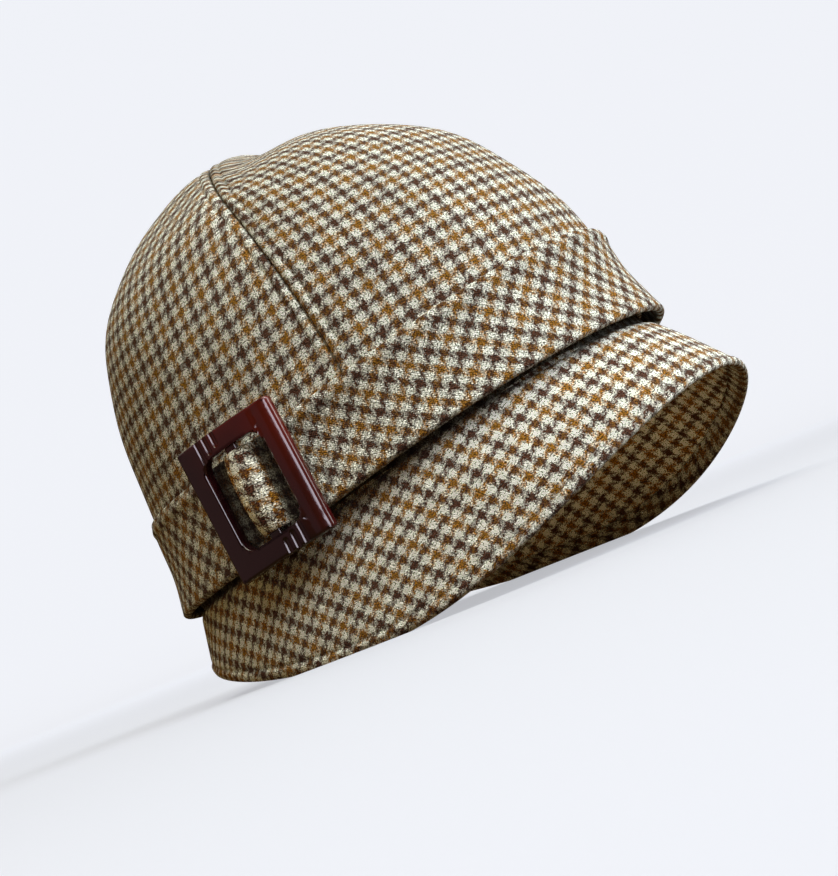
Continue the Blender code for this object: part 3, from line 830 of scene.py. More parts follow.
@dataclass
class CrownGores:
    """The three gores of the crown, sewn edge to edge."""

    crown: Crown
    rest: RestPlace
    rows: int = 112
    seam_crowding: float = 0.9
    base_at: float = 50.0
    point_radius: float = 8.0
    drop_radius: float = 40.0
    wave: float = 0.35
    wave_length: float = 62.0
    wave_fade: float = 40.0
    front_grain: GoreGrain = GoreGrain(
        narrowing=0.79,
        even_within=56.0,
        drop=5.1,
        drop_from=65.0,
        drop_length=30.0,
        eased=3.7,
        eased_at=84.0,
        eased_over=14.6,
        turn_deg=-1.4,
    )
    right_grain: GoreGrain = GoreGrain(
        narrowing=0.34,
        even_within=47.0,
        drop=13.4,
        drop_from=56.0,
        drop_length=90.0,
        eased=1.6,
        eased_at=92.0,
        eased_over=16.0,
        turn_deg=2.3,
    )

    def chart(self, angle: np.ndarray, distance: np.ndarray, middle: float, grain: GoreGrain) -> np.ndarray:
        """Lay the flat cloth over a gore.

        Args:
            angle: Angles of the grid in radians.
            distance: Distances up the profile.
            middle: The gore's middle angle.
            grain: How the cloth lies.

        Returns:
            Places on the flat cloth in mm.
        """
        point, radius = self.crown.smooth(angle, distance)
        base, _ = self.crown.smooth(angle, np.full_like(distance, self.base_at))
        centre = int(np.abs(angle[:, 0] - middle).argmin())
        here, there = (path_lengths(row.transpose(1, 0, 2)).T for row in (point, base))
        here -= here[centre]
        there -= there[centre]
        spread = smoothstep((radius - self.point_radius) / (grain.even_within - self.point_radius))
        narrowing = grain.narrowing * spread
        share = smoothstep((distance - grain.drop_from) / grain.drop_length)
        drop = grain.drop * share * np.minimum(radius / self.drop_radius, 1)
        more = grain.eased * (1 + np.tanh((distance - grain.eased_at) / grain.eased_over))
        up = path_lengths(point) + more - drop * (angle - middle) ** 2
        return turned(np.stack([here * (1 - narrowing) + there * narrowing, up], -1), grain.turn_deg)

    def gore(self, name: str, start_deg: float, end_deg: float, columns: int, grain: GoreGrain) -> ClothPiece:
        """Lay one gore out between its seams.

        Args:
            name: The piece's name.
            start_deg: The angle of its first seam.
            end_deg: The angle of its last seam.
            columns: How many columns it has.
            grain: How its cloth lies.

        Returns:
            The gore, ready to build.
        """
        crown, seam = self.crown, self.crown.seam
        start, end = math.radians(start_deg), math.radians(end_deg)
        share = eased(columns, self.seam_crowding)[:, None]
        up = np.linspace(0, crown.top, self.rows)[None, :]
        angle = start + (end - start) * share + 0 * up
        distance = up + 0 * share
        _, radius = crown.smooth(angle, distance)
        inset = np.minimum(crown.form.gap / 2 / np.maximum(radius, 0.1), (end - start) / 2)
        cloth = self.chart(angle, distance, (start + end) / 2, grain)
        angle = start + inset + (end - start - 2 * inset) * share
        fade = np.clip((crown.top - distance) / self.wave_fade, 0, 1)
        puff = ripple(cloth, self.wave, self.wave_length, start_deg) * fade
        places = crown.cloth(angle, distance, puff)
        off = radius * np.minimum(np.abs(angle - start), np.abs(angle - end))
        # Painted shade along the seams, where the turned-in cloth would lie in shade.
        painted_shade = bell(off, 0, seam.painted_shade_width) * np.minimum(radius / seam.fade_radius, 1)
        return ClothPiece(name, places, cloth, Edges.OPEN, painted_shade, crown.form.crown_cloth)

    def build(self, material: bpy.types.Material) -> None:
        """Make all three gores; the left one's cloth leans the other way."""
        seam = self.crown.form.side_seam_deg
        left_grain = replace(self.right_grain, turn_deg=-self.right_grain.turn_deg)
        gores = (
            ("front", -seam, seam, 190, self.front_grain),
            ("right", seam, 180.0, 150, self.right_grain),
            ("left", -180.0, -seam, 150, left_grain),
        )
        for side, start, end, columns, grain in gores:
            piece = self.gore(f"{side}_gore_cloth", start, end, columns, grain).build(self.rest, material)
            fit(piece, f"crown_{side}_gore")


@dataclass
class FoldedBand:
    """The bias strip round the crown, doubled at its lower edge."""

    crown: Crown
    rest: RestPlace
    columns: int = 361
    top_rows: int = 9
    face_rows: int = 43
    fold_rows: int = 14
    inner_rows: int = 15
    fold_thickness: float = 3.4
    top_round: float = 1.3
    sag: float = 0.8
    sag_front: float = 0.9
    seam_drop: float = 0.6
    flare: float = 1.6
    bias_deg: float = 45.0
    drawn_out: float = 0.93
    drawn_in: float = 1.067
    ridge: float = 0.6
    ridge_at: float = 2.2
    ridge_width: float = 1.6
    stand: float = 0.9
    wave: float = 0.5
    wave_length: float = 55.0
    wave_phase: float = 2.0
    fold_closing: float = 1.5

    def build(self, material: bpy.types.Material) -> None:
        """Make the band."""
        form, crown = self.crown.form, self.crown
        angle = np.linspace(-math.pi, math.pi, self.columns)[:, None]
        top_reach, top_height = (row[:, None] for row in Outline(form.band_top).at(angle[:, 0]))
        fold_reach, fold_height = (row[:, None] for row in Outline(form.band_fold).at(angle[:, 0]))
        fold_reach = fold_reach + self.stand
        half = self.fold_thickness / 2
        foot = fold_height + half
        sag = self.sag + self.sag_front * np.maximum(np.cos(angle), 0)
        rolled = np.radians(np.linspace(180, 0, self.top_rows))[None, :]
        top_x = top_reach - self.top_round * (1 - np.cos(rolled))
        top_z = top_height - self.top_round * (1 - np.sin(rolled))
        share = np.linspace(0, 1, self.face_rows + 1)[None, 1:]
        ridge = self.ridge * bell((top_height - foot) * share, self.ridge_at, self.ridge_width)
        out_x = top_reach + (fold_reach - top_reach) * share - sag * np.sin(math.pi * share) + ridge
        out_z = top_height - self.top_round + (foot - top_height + self.top_round) * share
        turn = np.radians(np.linspace(0, 180, self.fold_rows + 1))[None, 1:]
        fold_x = fold_reach - half + half * np.cos(turn)
        fold_z = foot - half * np.sin(turn)
        inner = np.linspace(0, 1, self.inner_rows + 1)[None, 1:]
        in_z = foot + (top_height - self.seam_drop - self.top_round - foot) * inner
        foot_gap = fold_x[:, -1:] - crown.reach(angle, np.full_like(angle, form.foot)) - form.gap
        in_x = crown.reach(angle + 0 * in_z, np.maximum(in_z, form.foot)) + form.gap
        in_x = in_x + foot_gap * (1 - inner) ** self.flare
        top_x[:, 0] = in_x[:, -1]
        top_z[:, 0] = in_z[:, -1]
        reach = np.concatenate([top_x, out_x, fold_x, in_x[:, :-1], top_x[:, :1]], 1)
        height = np.concatenate([top_z, out_z, fold_z, in_z[:, :-1], top_z[:, :1]], 1)
        run = path_lengths(polar(angle[:, 0], fold_reach[:, 0], foot[:, 0]))
        down = path_lengths(np.stack([reach, height], -1))
        # A bias strip stretches along its length and draws in across it.
        cloth = np.stack([run[:, None] * self.drawn_out + 0 * down, -down * self.drawn_in], -1)
        last = self.top_rows + self.face_rows
        outside = np.zeros(reach.shape[1])
        outside[self.top_rows : last] = np.sin(math.pi * np.linspace(0, 1, self.face_rows))
        reach = reach + ripple(cloth, self.wave, self.wave_length, self.wave_phase) * outside
        # Painted shade: none on the outer face, deepening round the fold and full inside the band.
        painted_shade = np.ones_like(reach)
        painted_shade[:, :last] = 0
        painted_shade[:, last : last + self.fold_rows] = (turn / math.pi) ** self.fold_closing
        painted_shade[:, -1] = 0
        places = polar(angle, reach, height)
        piece = ClothPiece("band_cloth", places, turned(cloth, self.bias_deg), Edges.TUBE, painted_shade)
        fit(piece.build(self.rest, material), "band")


@dataclass
class Brim:
    """The brim: outer cloth turned round its edge as a hem, and an under cloth."""

    crown: Crown
    rest: RestPlace
    columns: int = 481
    face_rows: int = 64
    row_crowding: float = 0.75
    roll_rows: int = 14
    inner_stride: int = 4
    foot_drop: float = 0.5
    bow_front: float = 0.9
    bow_back: float = 0.45
    bow_skew: float = 1.2
    hem: float = 6.0
    mean_reach: float = 84.0
    spread: float = 0.5
    side_draw: float = 0.27
    side_draw_about: float = 45.0
    side_lag: float = 0.33
    lag_from_deg: float = 35.0
    lag_over_deg: float = 70.0
    facing_grain_deg: float = 15.0
    tuck: float = 1.4
    tuck_at: float = 0.3
    tuck_width: float = 1.7
    stitch: float = 0.4
    stitch_at: float = 2.9
    stitch_width: float = 0.75
    swell: float = 0.3
    swell_at: float = 1.2
    swell_width: float = 1.0
    pucker: float = 0.16
    pucker_length: float = 7.5
    pucker_reach: float = 4.0
    wave: float = 0.5
    wave_length: float = 70.0
    wave_phase: float = 4.0
    # Painted shade under the band's fold, along the hem stitching and round the rolled edge.
    painted_shade_at: float = 0.4
    painted_shade_width: float = 1.5
    stitch_painted_shade: float = 0.4
    roll_painted_shade: float = 0.5

    def relief(self, angle: np.ndarray, line: np.ndarray) -> tuple[np.ndarray, np.ndarray]:
        """Work out how far the brim's face is drawn in by its seam and stitching.

        Args:
            angle: Angles of the columns in radians.
            line: The outer face in each plane.

        Returns:
            The depth in mm, less than zero where the cloth stands up, and how
            much painted shade lies under the band's fold and along the stitching.
        """
        _, fold_height = Outline(self.crown.form.band_fold).at(angle)
        below = fold_height[:, None] - line[..., 1]
        lengths = path_lengths(line)
        off = lengths[:, -1:] - lengths
        run = path_lengths(polar(angle, line[:, -1, 0], line[:, -1, 1]))[:, None]
        stitch = bell(off, self.stitch_at, self.stitch_width)
        depth = self.tuck * bell(below, self.tuck_at, self.tuck_width) + self.stitch * stitch
        depth -= self.swell * bell(off, self.swell_at, self.swell_width)
        wave = np.sin(math.tau * run / self.pucker_length) * np.minimum(off, 1)
        depth += self.pucker * wave * np.exp(-off / self.pucker_reach)
        # Painted shade on the brim just under the band's fold, and along the hem stitching.
        painted_shade = bell(np.maximum(below - self.painted_shade_at, 0), 0, self.painted_shade_width)
        return depth, painted_shade + self.stitch_painted_shade * stitch

    def face(self, angle: np.ndarray) -> tuple[np.ndarray, np.ndarray, np.ndarray, float]:
        """Draw the outer face in each plane, cut back by the rolled edge.

        Args:
            angle: Angles of the columns in radians.

        Returns:
            The line, its normals in towards the head, the direction of its
            end, and the roll's radius.
        """
        form = self.crown.form
        starts = []
        for level, height in ((form.collar, form.collar), (form.foot, form.foot - self.foot_drop)):
            reach = self.crown.reach(angle, np.full_like(angle, level)) - form.crown_cloth - form.gap
            starts.append(np.stack([reach, np.full_like(angle, height)], -1)[:, None])
        collar, foot = starts
        edge = np.stack(Outline(form.brim_edge).at(angle), -1)[:, None]
        along = unit(edge - foot)
        outward = np.stack([-along[..., 1], along[..., 0]], -1)
        front = (1 + np.cos(angle))[:, None, None] / 2
        bow = self.bow_back + (self.bow_front - self.bow_back) * front
        share = np.linspace(0, 1, self.face_rows)[None, :, None]
        line = foot + (edge - foot) * share + outward * bow * np.sin(math.pi * share**self.bow_skew)
        line = np.concatenate([collar, line], 1)
        end = unit(line[:, -1] - line[:, -2])
        roll = (form.brim_cloth + form.gap + form.facing_cloth) / 2
        line = self.cut_back(line, roll)
        step = unit(np.gradient(line, axis=1))
        return line, np.stack([step[..., 1], -step[..., 0]], -1), end, roll

    def cut_back(self, line: np.ndarray, short: float) -> np.ndarray:
        """Space each line's points afresh, and end it some mm short."""
        lengths = path_lengths(line)
        made = np.empty_like(line)
        for i, reached in enumerate(lengths):
            at = eased(line.shape[1], self.row_crowding) * float(reached[-1] - short)
            for axis in range(2):
                made[i, :, axis] = np.interp(at, reached, line[i, :, axis])
        return made

    def flat(self, angle: np.ndarray, down: np.ndarray, grain_deg: float) -> np.ndarray:
        """Unroll the cone: places on the cloth that it was cut from.

        Over the ears the cloth was shrunk down the brim and drawn forward.

        Args:
            angle: Angles of the columns in radians.
            down: Distances down the brim in mm.
            grain_deg: The turn of the grain at the front.

        Returns:
            Places on the flat cloth in mm.
        """
        wide = angle[:, None]
        drawn = self.side_draw * (down - self.side_draw_about) * np.sin(wide) ** 2
        radius = self.mean_reach / self.spread + down + drawn
        share = smoothstep((np.degrees(np.abs(wide)) - self.lag_from_deg) / self.lag_over_deg)
        turn = self.spread * wide - self.side_lag * share * np.sign(wide) * down / radius
        return turned(np.stack([radius * np.sin(turn), -radius * np.cos(turn)], -1), grain_deg)

    def build_outer(self, material: bpy.types.Material) -> None:
        """Make the outer cloth with its rolled edge and hem."""
        form = self.crown.form
        angle = np.linspace(-math.pi, math.pi, self.columns)
        line, normals, end, roll = self.face(angle)
        rows = line.shape[1]
        end = end[:, None]
        inward = np.stack([end[..., 1], -end[..., 0]], -1)
        centre = line[:, -1:] + inward * roll
        turn = np.radians(np.linspace(0, 180, self.roll_rows + 1))[None, 1:, None]
        rolled = centre - inward * roll * np.cos(turn) + end * roll * np.sin(turn)
        hem_top = centre + inward * roll - end * self.hem
        hem_in = hem_top - inward * (2 * roll - form.brim_cloth)
        back = (line + normals * form.brim_cloth)[:, :: -self.inner_stride]
        section = np.concatenate([line, rolled, hem_top, hem_in, back[:, 2:], line[:, :1]], 1)
        cloth = self.flat(angle, path_lengths(section), 0.0)
        seen = np.sin(math.pi * np.linspace(0, 1, rows)) ** 0.5
        rise = ripple(cloth[:, :rows], self.wave, self.wave_length, self.wave_phase) * seen
        depth, closed = self.relief(angle, line)
        # Painted shade under the fold, at the stitching and deepening round the rolled edge.
        painted_shade = np.zeros(section.shape[:2])
        painted_shade[:, :rows] = closed
        painted_shade[:, rows : rows + self.roll_rows] = self.roll_painted_shade * (turn[..., 0] / math.pi)
        painted_shade[:, -1] = closed[:, 0]
        section[:, :rows] -= normals * (rise - depth)[..., None]
        places = polar(angle[:, None], section[..., 0], section[..., 1])
        piece = ClothPiece("brim_cloth", places, cloth, Edges.TUBE, painted_shade)
        fit(piece.build(self.rest, material), "brim_outer")

    def build_facing(self, material: bpy.types.Material) -> None:
        """Make the under cloth, tucked under the hem."""
        form = self.crown.form
        angle = np.linspace(-math.pi, math.pi, self.columns)
        line, normals, _, _ = self.face(angle)
        near = form.brim_cloth + form.gap
        line = self.cut_back(line, self.hem + form.gap)
        outside = line + normals * near
        inside = line + normals * (near + form.facing_cloth)
        section = np.concatenate([inside, outside[:, :: -self.inner_stride], inside[:, :1]], 1)
        cloth = self.flat(angle, path_lengths(section), self.facing_grain_deg)
        places = polar(angle[:, None], section[..., 0], section[..., 1])
        piece = ClothPiece("under_brim_cloth", places, cloth, Edges.TUBE, np.zeros(section.shape[:2]))
        fit(piece.build(self.rest, material), "brim_facing")

    def build(self, material: bpy.types.Material) -> None:
        """Make both cloths of the brim."""
        self.build_outer(material)
        self.build_facing(material)


@dataclass
class Buckle:
    """The moulded buckle and the strap over its bar."""

    crown: Crown
    rest: RestPlace
    deg: float = 98.9
    facing_deg: float = 95.5
    height_up: float = 17.6
    stand_off: float = 4.1
    turn_deg: float = 2.4
    lean_deg: float = 3.0
    width: float = 45.4
    length: float = 52.2
    thickness: float = 4.6
    bend_radius: float = 135.0
    bend_step: float = 1.1
    length_step: float = 4.0
    corner: float = 1.2
    edge: float = 1.0
    square_deg: float = 60.0
    crisp_deg: float = 38.0
    window_width: float = 28.0
    window_length: float = 36.0
    window_corner: float = 5.0
    bar_width: float = 5.0
    bar_level: float = 1.2
    bar_thickness: float = 2.2
    bar_corner: float = 0.6
    bar_overlap: float = 1.0
    dome: float = 1.3
    dome_step: float = 0.7
    flute_radius: float = 1.8
    flute_depth: float = 0.7
    flute_spacing: float = 3.8
    flute_from_edge: float = 11.5
    flute_lengths: tuple[float, ...] = (11.5, 8.6, 7.5)
    tab_rows: int = 60
    tab_columns: int = 41
    tab_crowding: float = 0.85
    tab_cloth: float = 1.1
    tab_width: float = 32.0
    tab_half_span: float = 19.0
    tab_rise_at: float = 8.4
    tab_foot_run: float = 2.2
    tab_foot_rise: float = 1.0
    tab_top_at: float = 4.4
    tab_shoulder: float = 1.6
    tab_shoulder_out: float = 0.8
    tab_crown: float = 0.2
    tab_pillow: float = 1.5
    tab_pillow_power: float = 2.5
    tab_taper: float = 0.24
    tab_thinning: float = 0.55
    tab_edge_power: int = 8
    tab_grain_deg: float = 8.0
    # Painted shade where the strap dives under the side bars, and along its sides.
    foot_painted_shade: float = 0.95
    foot_fade: float = 1.8
    side_painted_shade: float = 0.2
    side_painted_shade_width: float = 1.4

    def matrix(self) -> Matrix:
        """Find the buckle's own frame: x forward, y up and z out of the band."""
        form = self.crown.form
        angle = np.array(math.radians(self.deg))
        top_reach, top_height = Outline(form.band_top).at(angle)
        fold_reach, fold_height = Outline(form.band_fold).at(angle)
        share = (self.height_up - fold_height) / (top_height - fold_height)
        reach = fold_reach + (top_reach - fold_reach) * share + self.stand_off
        origin = Vector(polar(angle, reach, np.array(self.height_up)))
        turn = Matrix.Rotation(math.radians(-self.facing_deg), 4, "Z")
        stand = Matrix.Rotation(math.radians(90 - self.lean_deg), 4, "X")
        roll = Matrix.Rotation(math.radians(-self.turn_deg), 4, "Z")
        return self.rest.matrix @ Matrix.Translation(origin) @ turn @ stand @ roll

    def bent(self, points: np.ndarray) -> np.ndarray:
        """Wrap flat points round the band's curve."""
        turn = points[..., 0] / self.bend_radius
        radius = self.bend_radius + points[..., 2]
        return np.stack([radius * np.sin(turn), points[..., 1], radius * np.cos(turn) - self.bend_radius], -1)

    @staticmethod
    def plate(bm: bmesh.types.BMesh, width: float, length: float, corner: float, segments: int) -> None:
        """Add a flat plate with round corners."""
        verts = bmesh.ops.create_grid(bm, x_segments=1, y_segments=1, size=0.5)["verts"]
        bmesh.ops.scale(bm, verts=verts, vec=(width, length, 1))
        bmesh.ops.bevel(
            bm, geom=verts, offset=corner, segments=segments, profile=0.5, affect="VERTICES", material=-1
        )

    def frame_shape(self) -> bmesh.types.BMesh:
        """Model the frame flat: a ring, thickened, rounded and domed."""
        window = bmesh.new()
        self.plate(window, self.window_width, self.window_length, self.window_corner, segments=8)
        outline = bpy.data.meshes.new("window_outline")
        window.to_mesh(outline)
        window.free()
        bm = bmesh.new()
        self.plate(bm, self.width, self.length, self.corner, segments=4)
        bm.from_mesh(outline)
        bpy.data.meshes.remove(outline)
        bmesh.ops.delete(bm, geom=bm.faces[:], context="FACES_ONLY")
        bmesh.ops.bridge_loops(bm, edges=bm.edges[:])
        cuts = (((1, 0, 0), self.width, self.bend_step), ((0, 1, 0), self.length, self.length_step))
        for axis, size, step in cuts:
            count = int(size / step)
            for i in range(1, count):
                spot = [part * (size * i / count - size / 2) for part in axis]
                everything = bm.verts[:] + bm.edges[:] + bm.faces[:]
                bmesh.ops.bisect_plane(bm, geom=everything, plane_co=spot, plane_no=axis)
        lifted = bmesh.ops.extrude_face_region(bm, geom=bm.faces[:])
        top = [item for item in lifted["geom"] if isinstance(item, bmesh.types.BMVert)]
        bmesh.ops.translate(bm, verts=top, vec=(0, 0, self.thickness))
        bmesh.ops.recalc_face_normals(bm, faces=bm.faces)
        square = math.radians(self.square_deg)
        sharp = [edge for edge in bm.edges if edge.is_manifold and edge.calc_face_angle(0) > square]
        bmesh.ops.bevel(
            bm, geom=sharp, offset=self.edge, segments=4, profile=0.5, affect="EDGES", material=-1
        )
        bar_middle = (self.window_width + self.width) / 4
        bar_half = (self.width - self.window_width) / 4
        for vert in bm.verts:
            off = (vert.co.x - bar_middle) / bar_half
            if abs(off) <= 1.001 and vert.co.z > self.thickness / 2:
                vert.co.z -= self.dome * off**3 if off > 0 else self.dome_step * off**2
        bmesh.ops.translate(bm, verts=bm.verts, vec=(0, 0, self.crown.form.gap))
        return bm

    def bar(self) -> bpy.types.Object:
        """Make the centre bar that the strap passes over."""
        bm = bmesh.new()
        verts = bmesh.ops.create_cube(bm, size=1.0)["verts"]
        length = self.window_length + 2 * self.bar_overlap
        bmesh.ops.scale(bm, verts=verts, vec=(self.bar_width, length, self.bar_thickness))
        bmesh.ops.translate(bm, verts=verts, vec=(0, 0, self.bar_level + self.bar_thickness / 2))
        bmesh.ops.bevel(
            bm, geom=bm.edges[:], offset=self.bar_corner, segments=3, profile=0.5, affect="EDGES", material=-1
        )
        return new_object("bar_shape", bm)

    def flutes(self, index: int) -> bpy.types.Object:
        """Make one pair of round-ended grooves, at opposite corners."""
        bm = bmesh.new()
        length = self.flute_lengths[index]
        x = -self.width / 2 + self.flute_from_edge + self.flute_spacing * index
        level = self.crown.form.gap + self.thickness + self.flute_radius - self.flute_depth
        for side in (1, -1):
            made = bmesh.ops.create_uvsphere(bm, u_segments=24, v_segments=16, radius=self.flute_radius)
            verts = made["verts"]
            for end in (1, -1):
                half = [v for v in verts if v.co.z * end > 1e-6]
                bmesh.ops.translate(bm, verts=half, vec=(0, 0, end * (length / 2 - self.flute_radius)))
            bmesh.ops.rotate(bm, verts=verts, cent=(0, 0, 0), matrix=Matrix.Rotation(math.pi / 2, 3, "X"))
            centre = self.length / 2 - length / 2 + self.edge
            bmesh.ops.translate(bm, verts=verts, vec=(side * x, side * centre, level))
        return new_object(f"flute_{index}", bm)

    def build_frame(self, material: bpy.types.Material) -> None:
        """Make the moulded frame, bend it and set it on the band."""
        blank = new_object("buckle_blank", self.frame_shape())
        tools = [(self.bar(), "UNION")]
        tools += [(self.flutes(i), "DIFFERENCE") for i in range(len(self.flute_lengths))]
        for tool, operation in tools:
            cut = blank.modifiers.new(tool.name, "BOOLEAN")
            cut.solver = "MANIFOLD"
            cut.operation = operation
            cut.object = tool
        bpy.context.view_layer.update()
        shaped = blank.evaluated_get(bpy.context.evaluated_depsgraph_get())
        bm = bmesh.new()
        bm.from_mesh(shaped.to_mesh())
        shaped.to_mesh_clear()
        for obj in [blank] + [tool for tool, _ in tools]:
            bpy.data.objects.remove(obj)
        flat = np.array([vert.co for vert in bm.verts], float)
        for vert, spot in zip(bm.verts, self.bent(flat)):
            vert.co = spot
        bmesh.ops.remove_doubles(bm, verts=bm.verts, dist=1e-4)
        bmesh.ops.transform(bm, matrix=self.matrix(), verts=bm.verts)
        piece = finish_piece("moulded_buckle", bm, material)
        piece.data.set_sharp_from_angle(angle=math.radians(self.crisp_deg))
        fit(piece, "buckle_frame")

    def build_tab(self, material: bpy.types.Material) -> None:
        """Make the strap: flat under the side bars, humped over the centre one."""
        low = -self.tab_cloth
        high = self.bar_level + self.bar_thickness + self.crown.form.gap
        half = np.array(
            [
                (self.tab_half_span, low),
                (self.tab_rise_at, low),
                (self.tab_rise_at - self.tab_foot_run, low + self.tab_foot_rise),
                (self.tab_top_at + self.tab_shoulder_out, high - self.tab_shoulder),
                (self.tab_top_at - self.tab_shoulder, high - self.tab_crown),
                (0.0, high + self.tab_crown),
            ]
        )
        path = np.concatenate([half[:-1] * (-1, 1), half[::-1]])
        lengths = path_lengths(path)
        line = Spline(lengths, path).at(np.linspace(0, lengths[-1], self.tab_rows))
        along = unit(np.gradient(line, axis=0))
        normal = np.stack([-along[:, 1], along[:, 0]], -1)
        across = (eased(self.tab_columns, self.tab_crowding) - 0.5) * self.tab_width
        side = np.abs(across / (self.tab_width / 2))
        thick = self.tab_cloth * (1 - self.tab_thinning * side**self.tab_edge_power)
        raised = (np.clip((line[:, 1] - low) / (high - low), 0, 1) ** 2)[:, None]
        pillow = self.tab_pillow * raised * (1 - side**self.tab_pillow_power)[None, :]
        rise = line[:, None, :] + normal[:, None, :] * (thick[None, :, None] + pillow[..., None])
        drawn = 1 - self.tab_taper * raised * side[None, :] ** 2
        outer = np.stack([rise[..., 0] * drawn, across[None, :] + 0 * rise[..., 0], rise[..., 1]], -1)
        under = np.stack([line[:, None, 0] * drawn, across + 0 * drawn, line[:, None, 1] + 0 * drawn], -1)
        section = np.concatenate([outer, under[:, ::-1], outer[:, :1]], 1)
        back = np.array(self.rest.matrix.inverted() @ self.matrix())
        places = self.bent(section) @ back[:3, :3].T + back[:3, 3]
        flat = path_lengths(section)
        cloth = turned(np.stack([path_lengths(line)[:, None] + 0 * flat, flat], -1), self.tab_grain_deg)
        # Painted shade darkens the strap where it dives under the side bars, and along its turned sides.
        foot = np.clip(1 - self.foot_fade * np.sqrt(raised), 0, 1)
        sides = bell(self.tab_width / 2 - np.abs(across), 0, self.side_painted_shade_width)
        painted_shade = np.zeros(section.shape[:2])
        painted_shade[:, : len(across)] = np.maximum(self.foot_painted_shade * foot, self.side_painted_shade * sides)
        painted_shade[:, -1] = painted_shade[:, 0]
        piece = ClothPiece("strap_cloth", places, cloth, Edges.TUBE, painted_shade).build(self.rest, material)
        self.close_ends(piece)
        fit(piece, "buckle_tab")

    @staticmethod
    def close_ends(piece: bpy.types.Object) -> None:
        """Fill the two open ends of the strap."""
        bm = bmesh.new()
        bm.from_mesh(piece.data)
        border = [edge for edge in bm.edges if edge.is_boundary]
        bmesh.ops.holes_fill(bm, edges=border, sides=0)
        bmesh.ops.recalc_face_normals(bm, faces=bm.faces)
        bm.to_mesh(piece.data)
        bm.free()

    def build(self, plastic: bpy.types.Material, cloth: bpy.types.Material) -> None:
        """Make the frame and its strap."""
        self.build_frame(plastic)
        self.build_tab(cloth)


@dataclass(frozen=True)
class PhotoCamera:
    """The photograph's view, about the crown's axis, raised clear of the floor."""

    azimuth_deg: float = 63.158
    elevation_deg: float = -9.658
    roll_deg: float = 32.115
    distance: float = 1210.7
    focal_px: float = 3248.5
    axis_x_px: float = 427.25
    axis_y_px: float = 471.27
    height_mm: float = 24.0
    sensor_mm: float = 36.0

    def build(self, rest: RestPlace) -> None:
        """Place the camera and make it the scene's own.

        Args:
            rest: Where the hat lies.
        """
        roll = math.radians(self.roll_deg)
        back = direction(self.azimuth_deg, self.elevation_deg)
        right = direction(self.azimuth_deg - 90, 0)
        up = back.cross(right)
        picture_right = right * math.cos(roll) - up * math.sin(roll)
        picture_up = right * math.sin(roll) + up * math.cos(roll)
        turn = rest.matrix.to_3x3().normalized()
        axes = Matrix([turn @ picture_right, turn @ picture_up, turn @ back]).transposed()
        target = rest.matrix.translation
        wanted = math.asin((self.height_mm * MM - target.z) / (self.distance * MM))
        now = math.asin(axes.col[2].z)
        side = Vector((0, 0, 1)).cross(axes.col[2]).normalized()
        axes = Matrix.Rotation(now - wanted, 3, side) @ axes
        spot = target + axes.col[2] * self.distance * MM
        pan = math.atan((self.axis_x_px - PICTURE_WIDTH / 2) / self.focal_px)
        tilt = math.atan((self.axis_y_px - PICTURE_HEIGHT / 2) / self.focal_px)
        axes = axes @ Matrix.Rotation(pan, 3, "Y") @ Matrix.Rotation(tilt, 3, "X")
        data = bpy.data.cameras.new("photo_camera")
        data.sensor_width = self.sensor_mm
        data.lens = self.focal_px / PICTURE_HEIGHT * self.sensor_mm
        data.clip_start = 0.01
        camera = bpy.data.objects.new("photo_camera", data)
        bpy.context.scene.collection.objects.link(camera)
        camera.matrix_world = Matrix.Translation(spot) @ axes.to_4x4()
        bpy.context.scene.camera = camera


@dataclass(frozen=True)
class SoftBox:
    """A square lamp or card that looks at the hat.

    A lamp may be one that glossy things don't mirror, and a card one that
    only they see.
    """

    name: str
    azimuth_deg: float
    elevation_deg: float
    distance: float
    size: float
    watts: float
    colour: str
    mirrored: bool = True
    shines: bool = True


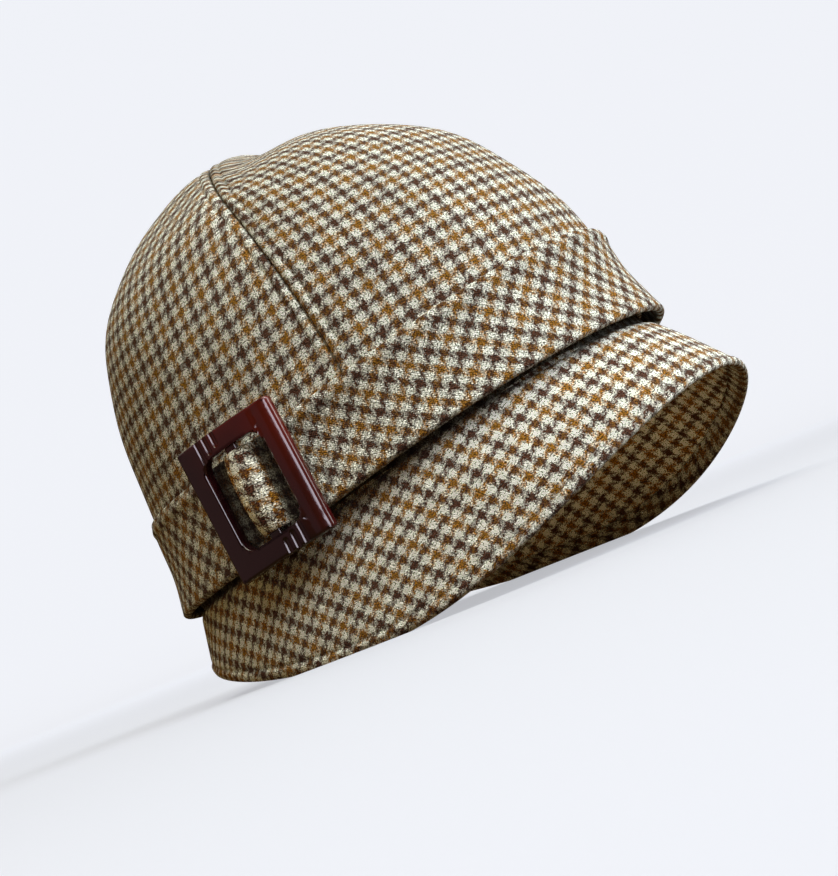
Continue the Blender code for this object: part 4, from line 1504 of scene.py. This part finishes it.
@dataclass(frozen=True)
class Studio:
    """A round paper sweep and the soft lights over it."""

    floor_radius: float = 2.2
    sweep_radius: float = 1.2
    sweep_steps: int = 12
    wall_height: float = 2.6
    round_steps: int = 72
    target_height: float = 0.09
    air: str = "#ffcc88"
    air_strength: float = 0.1
    lamps: tuple[SoftBox, ...] = (
        SoftBox("key_softbox", -20, 17, 1.6, 0.9, 12.5, "#ffffff"),
        SoftBox("front_softbox", 12, 45, 1.6, 0.9, 17.0, "#ffffff"),
        SoftBox("top_softbox", 55, 72, 1.6, 1.0, 15.5, "#fffae6"),
        SoftBox("side_softbox", 150, 18, 1.6, 0.9, 2.4, "#ffdc90", mirrored=False),
        SoftBox("back_softbox", 235, 38, 1.7, 1.2, 12.0, "#ffffff"),
        SoftBox("table_glow", 0, -90, 0.086, 0.13, 0.024, "#ffd8a0", mirrored=False),
        SoftBox("bright_card", 66, 15, 1.6, 0.8, 14.0, "#f4f0ff", shines=False),
        SoftBox("dim_card", 140, 10, 1.6, 1.3, 0.7, "#e0b8dc", shines=False),
    )

    def build(self, paper: bpy.types.Material) -> None:
        """Make the sweep, the lamps and the air.

        Args:
            paper: The sweep's finish.
        """
        profile = [(0.0, 0.0), (self.floor_radius, 0.0)]
        for turn in np.radians(np.linspace(0, 90, self.sweep_steps + 1)[1:]):
            x = self.floor_radius + self.sweep_radius * math.sin(turn)
            profile.append((x, self.sweep_radius * (1 - math.cos(turn))))
        profile.append((self.floor_radius + self.sweep_radius, self.wall_height))
        bm = bmesh.new()
        spots = [bm.verts.new((x, 0, z)) for x, z in profile]
        for ends in zip(spots, spots[1:]):
            bm.edges.new(ends)
        bmesh.ops.spin(
            bm,
            geom=bm.verts[:] + bm.edges[:],
            cent=(0, 0, 0),
            axis=(0, 0, 1),
            angle=math.tau,
            steps=self.round_steps,
            use_merge=True,
        )
        bmesh.ops.remove_doubles(bm, verts=bm.verts, dist=1e-5)
        bmesh.ops.recalc_face_normals(bm, faces=bm.faces)
        sweep = finish_piece("paper_sweep", bm, paper)
        sweep.visible_diffuse = False
        sweep.visible_glossy = False
        for lamp in self.lamps:
            self.add_lamp(lamp)
        world = bpy.data.worlds.new("studio_air")
        world.use_nodes = True
        air = {"Color": linear(self.air), "Strength": self.air_strength}
        feed(world.node_tree, world.node_tree.nodes["Background"], air)
        bpy.context.scene.world = world
        bpy.context.scene.view_settings.view_transform = "Standard"

    def add_lamp(self, lamp: SoftBox) -> None:
        """Hang one lamp, aimed at the hat.

        Args:
            lamp: Where it hangs, and its size, power and colour.
        """
        away = direction(lamp.azimuth_deg, lamp.elevation_deg)
        data = bpy.data.lights.new(lamp.name, "AREA")
        data.shape = "SQUARE"
        data.size = lamp.size
        data.energy = lamp.watts
        data.color = linear(lamp.colour)[:3]
        light = bpy.data.objects.new(lamp.name, data)
        light.visible_camera = False
        light.visible_glossy = lamp.mirrored
        light.visible_diffuse = lamp.shines
        bpy.context.scene.collection.objects.link(light)
        light.rotation_euler = away.to_track_quat("Z", "Y").to_euler()
        light.location = Vector((0, 0, self.target_height)) + away * lamp.distance


def main() -> None:
    """Build the hat piece by piece, then the studio round it."""
    logging.basicConfig(level=logging.INFO, format="%(name)s: %(message)s")
    form = HatForm()
    crown = Crown(form, SeamRelief())
    rest = RestPlace(form, crown)
    PhotoCamera().build(rest)
    tweed = GunClubTweed("gun_club_tweed").material()
    CrownGores(crown, rest).build(tweed)
    FoldedBand(crown, rest).build(tweed)
    # A lit copy of the tweed for the brim: painted light lifts its shade, with its own gold and brown.
    lit_brim_tweed = GunClubTweed("gun_club_tweed_brim_lit", gold="#8d611a", brown="#4a2b1e", lift=1.22)
    Brim(crown, rest).build(lit_brim_tweed.material())
    # A still brighter lit copy for the strap: painted light, as if it caught the most light over the bar.
    lit_strap_tweed = replace(lit_brim_tweed, name="gun_club_tweed_strap_lit", lift=1.6)
    Buckle(crown, rest).build(OxbloodPlastic().material(), lit_strap_tweed.material())
    Studio().build(StudioPaper().material())


if __name__ == "__main__":
    main()
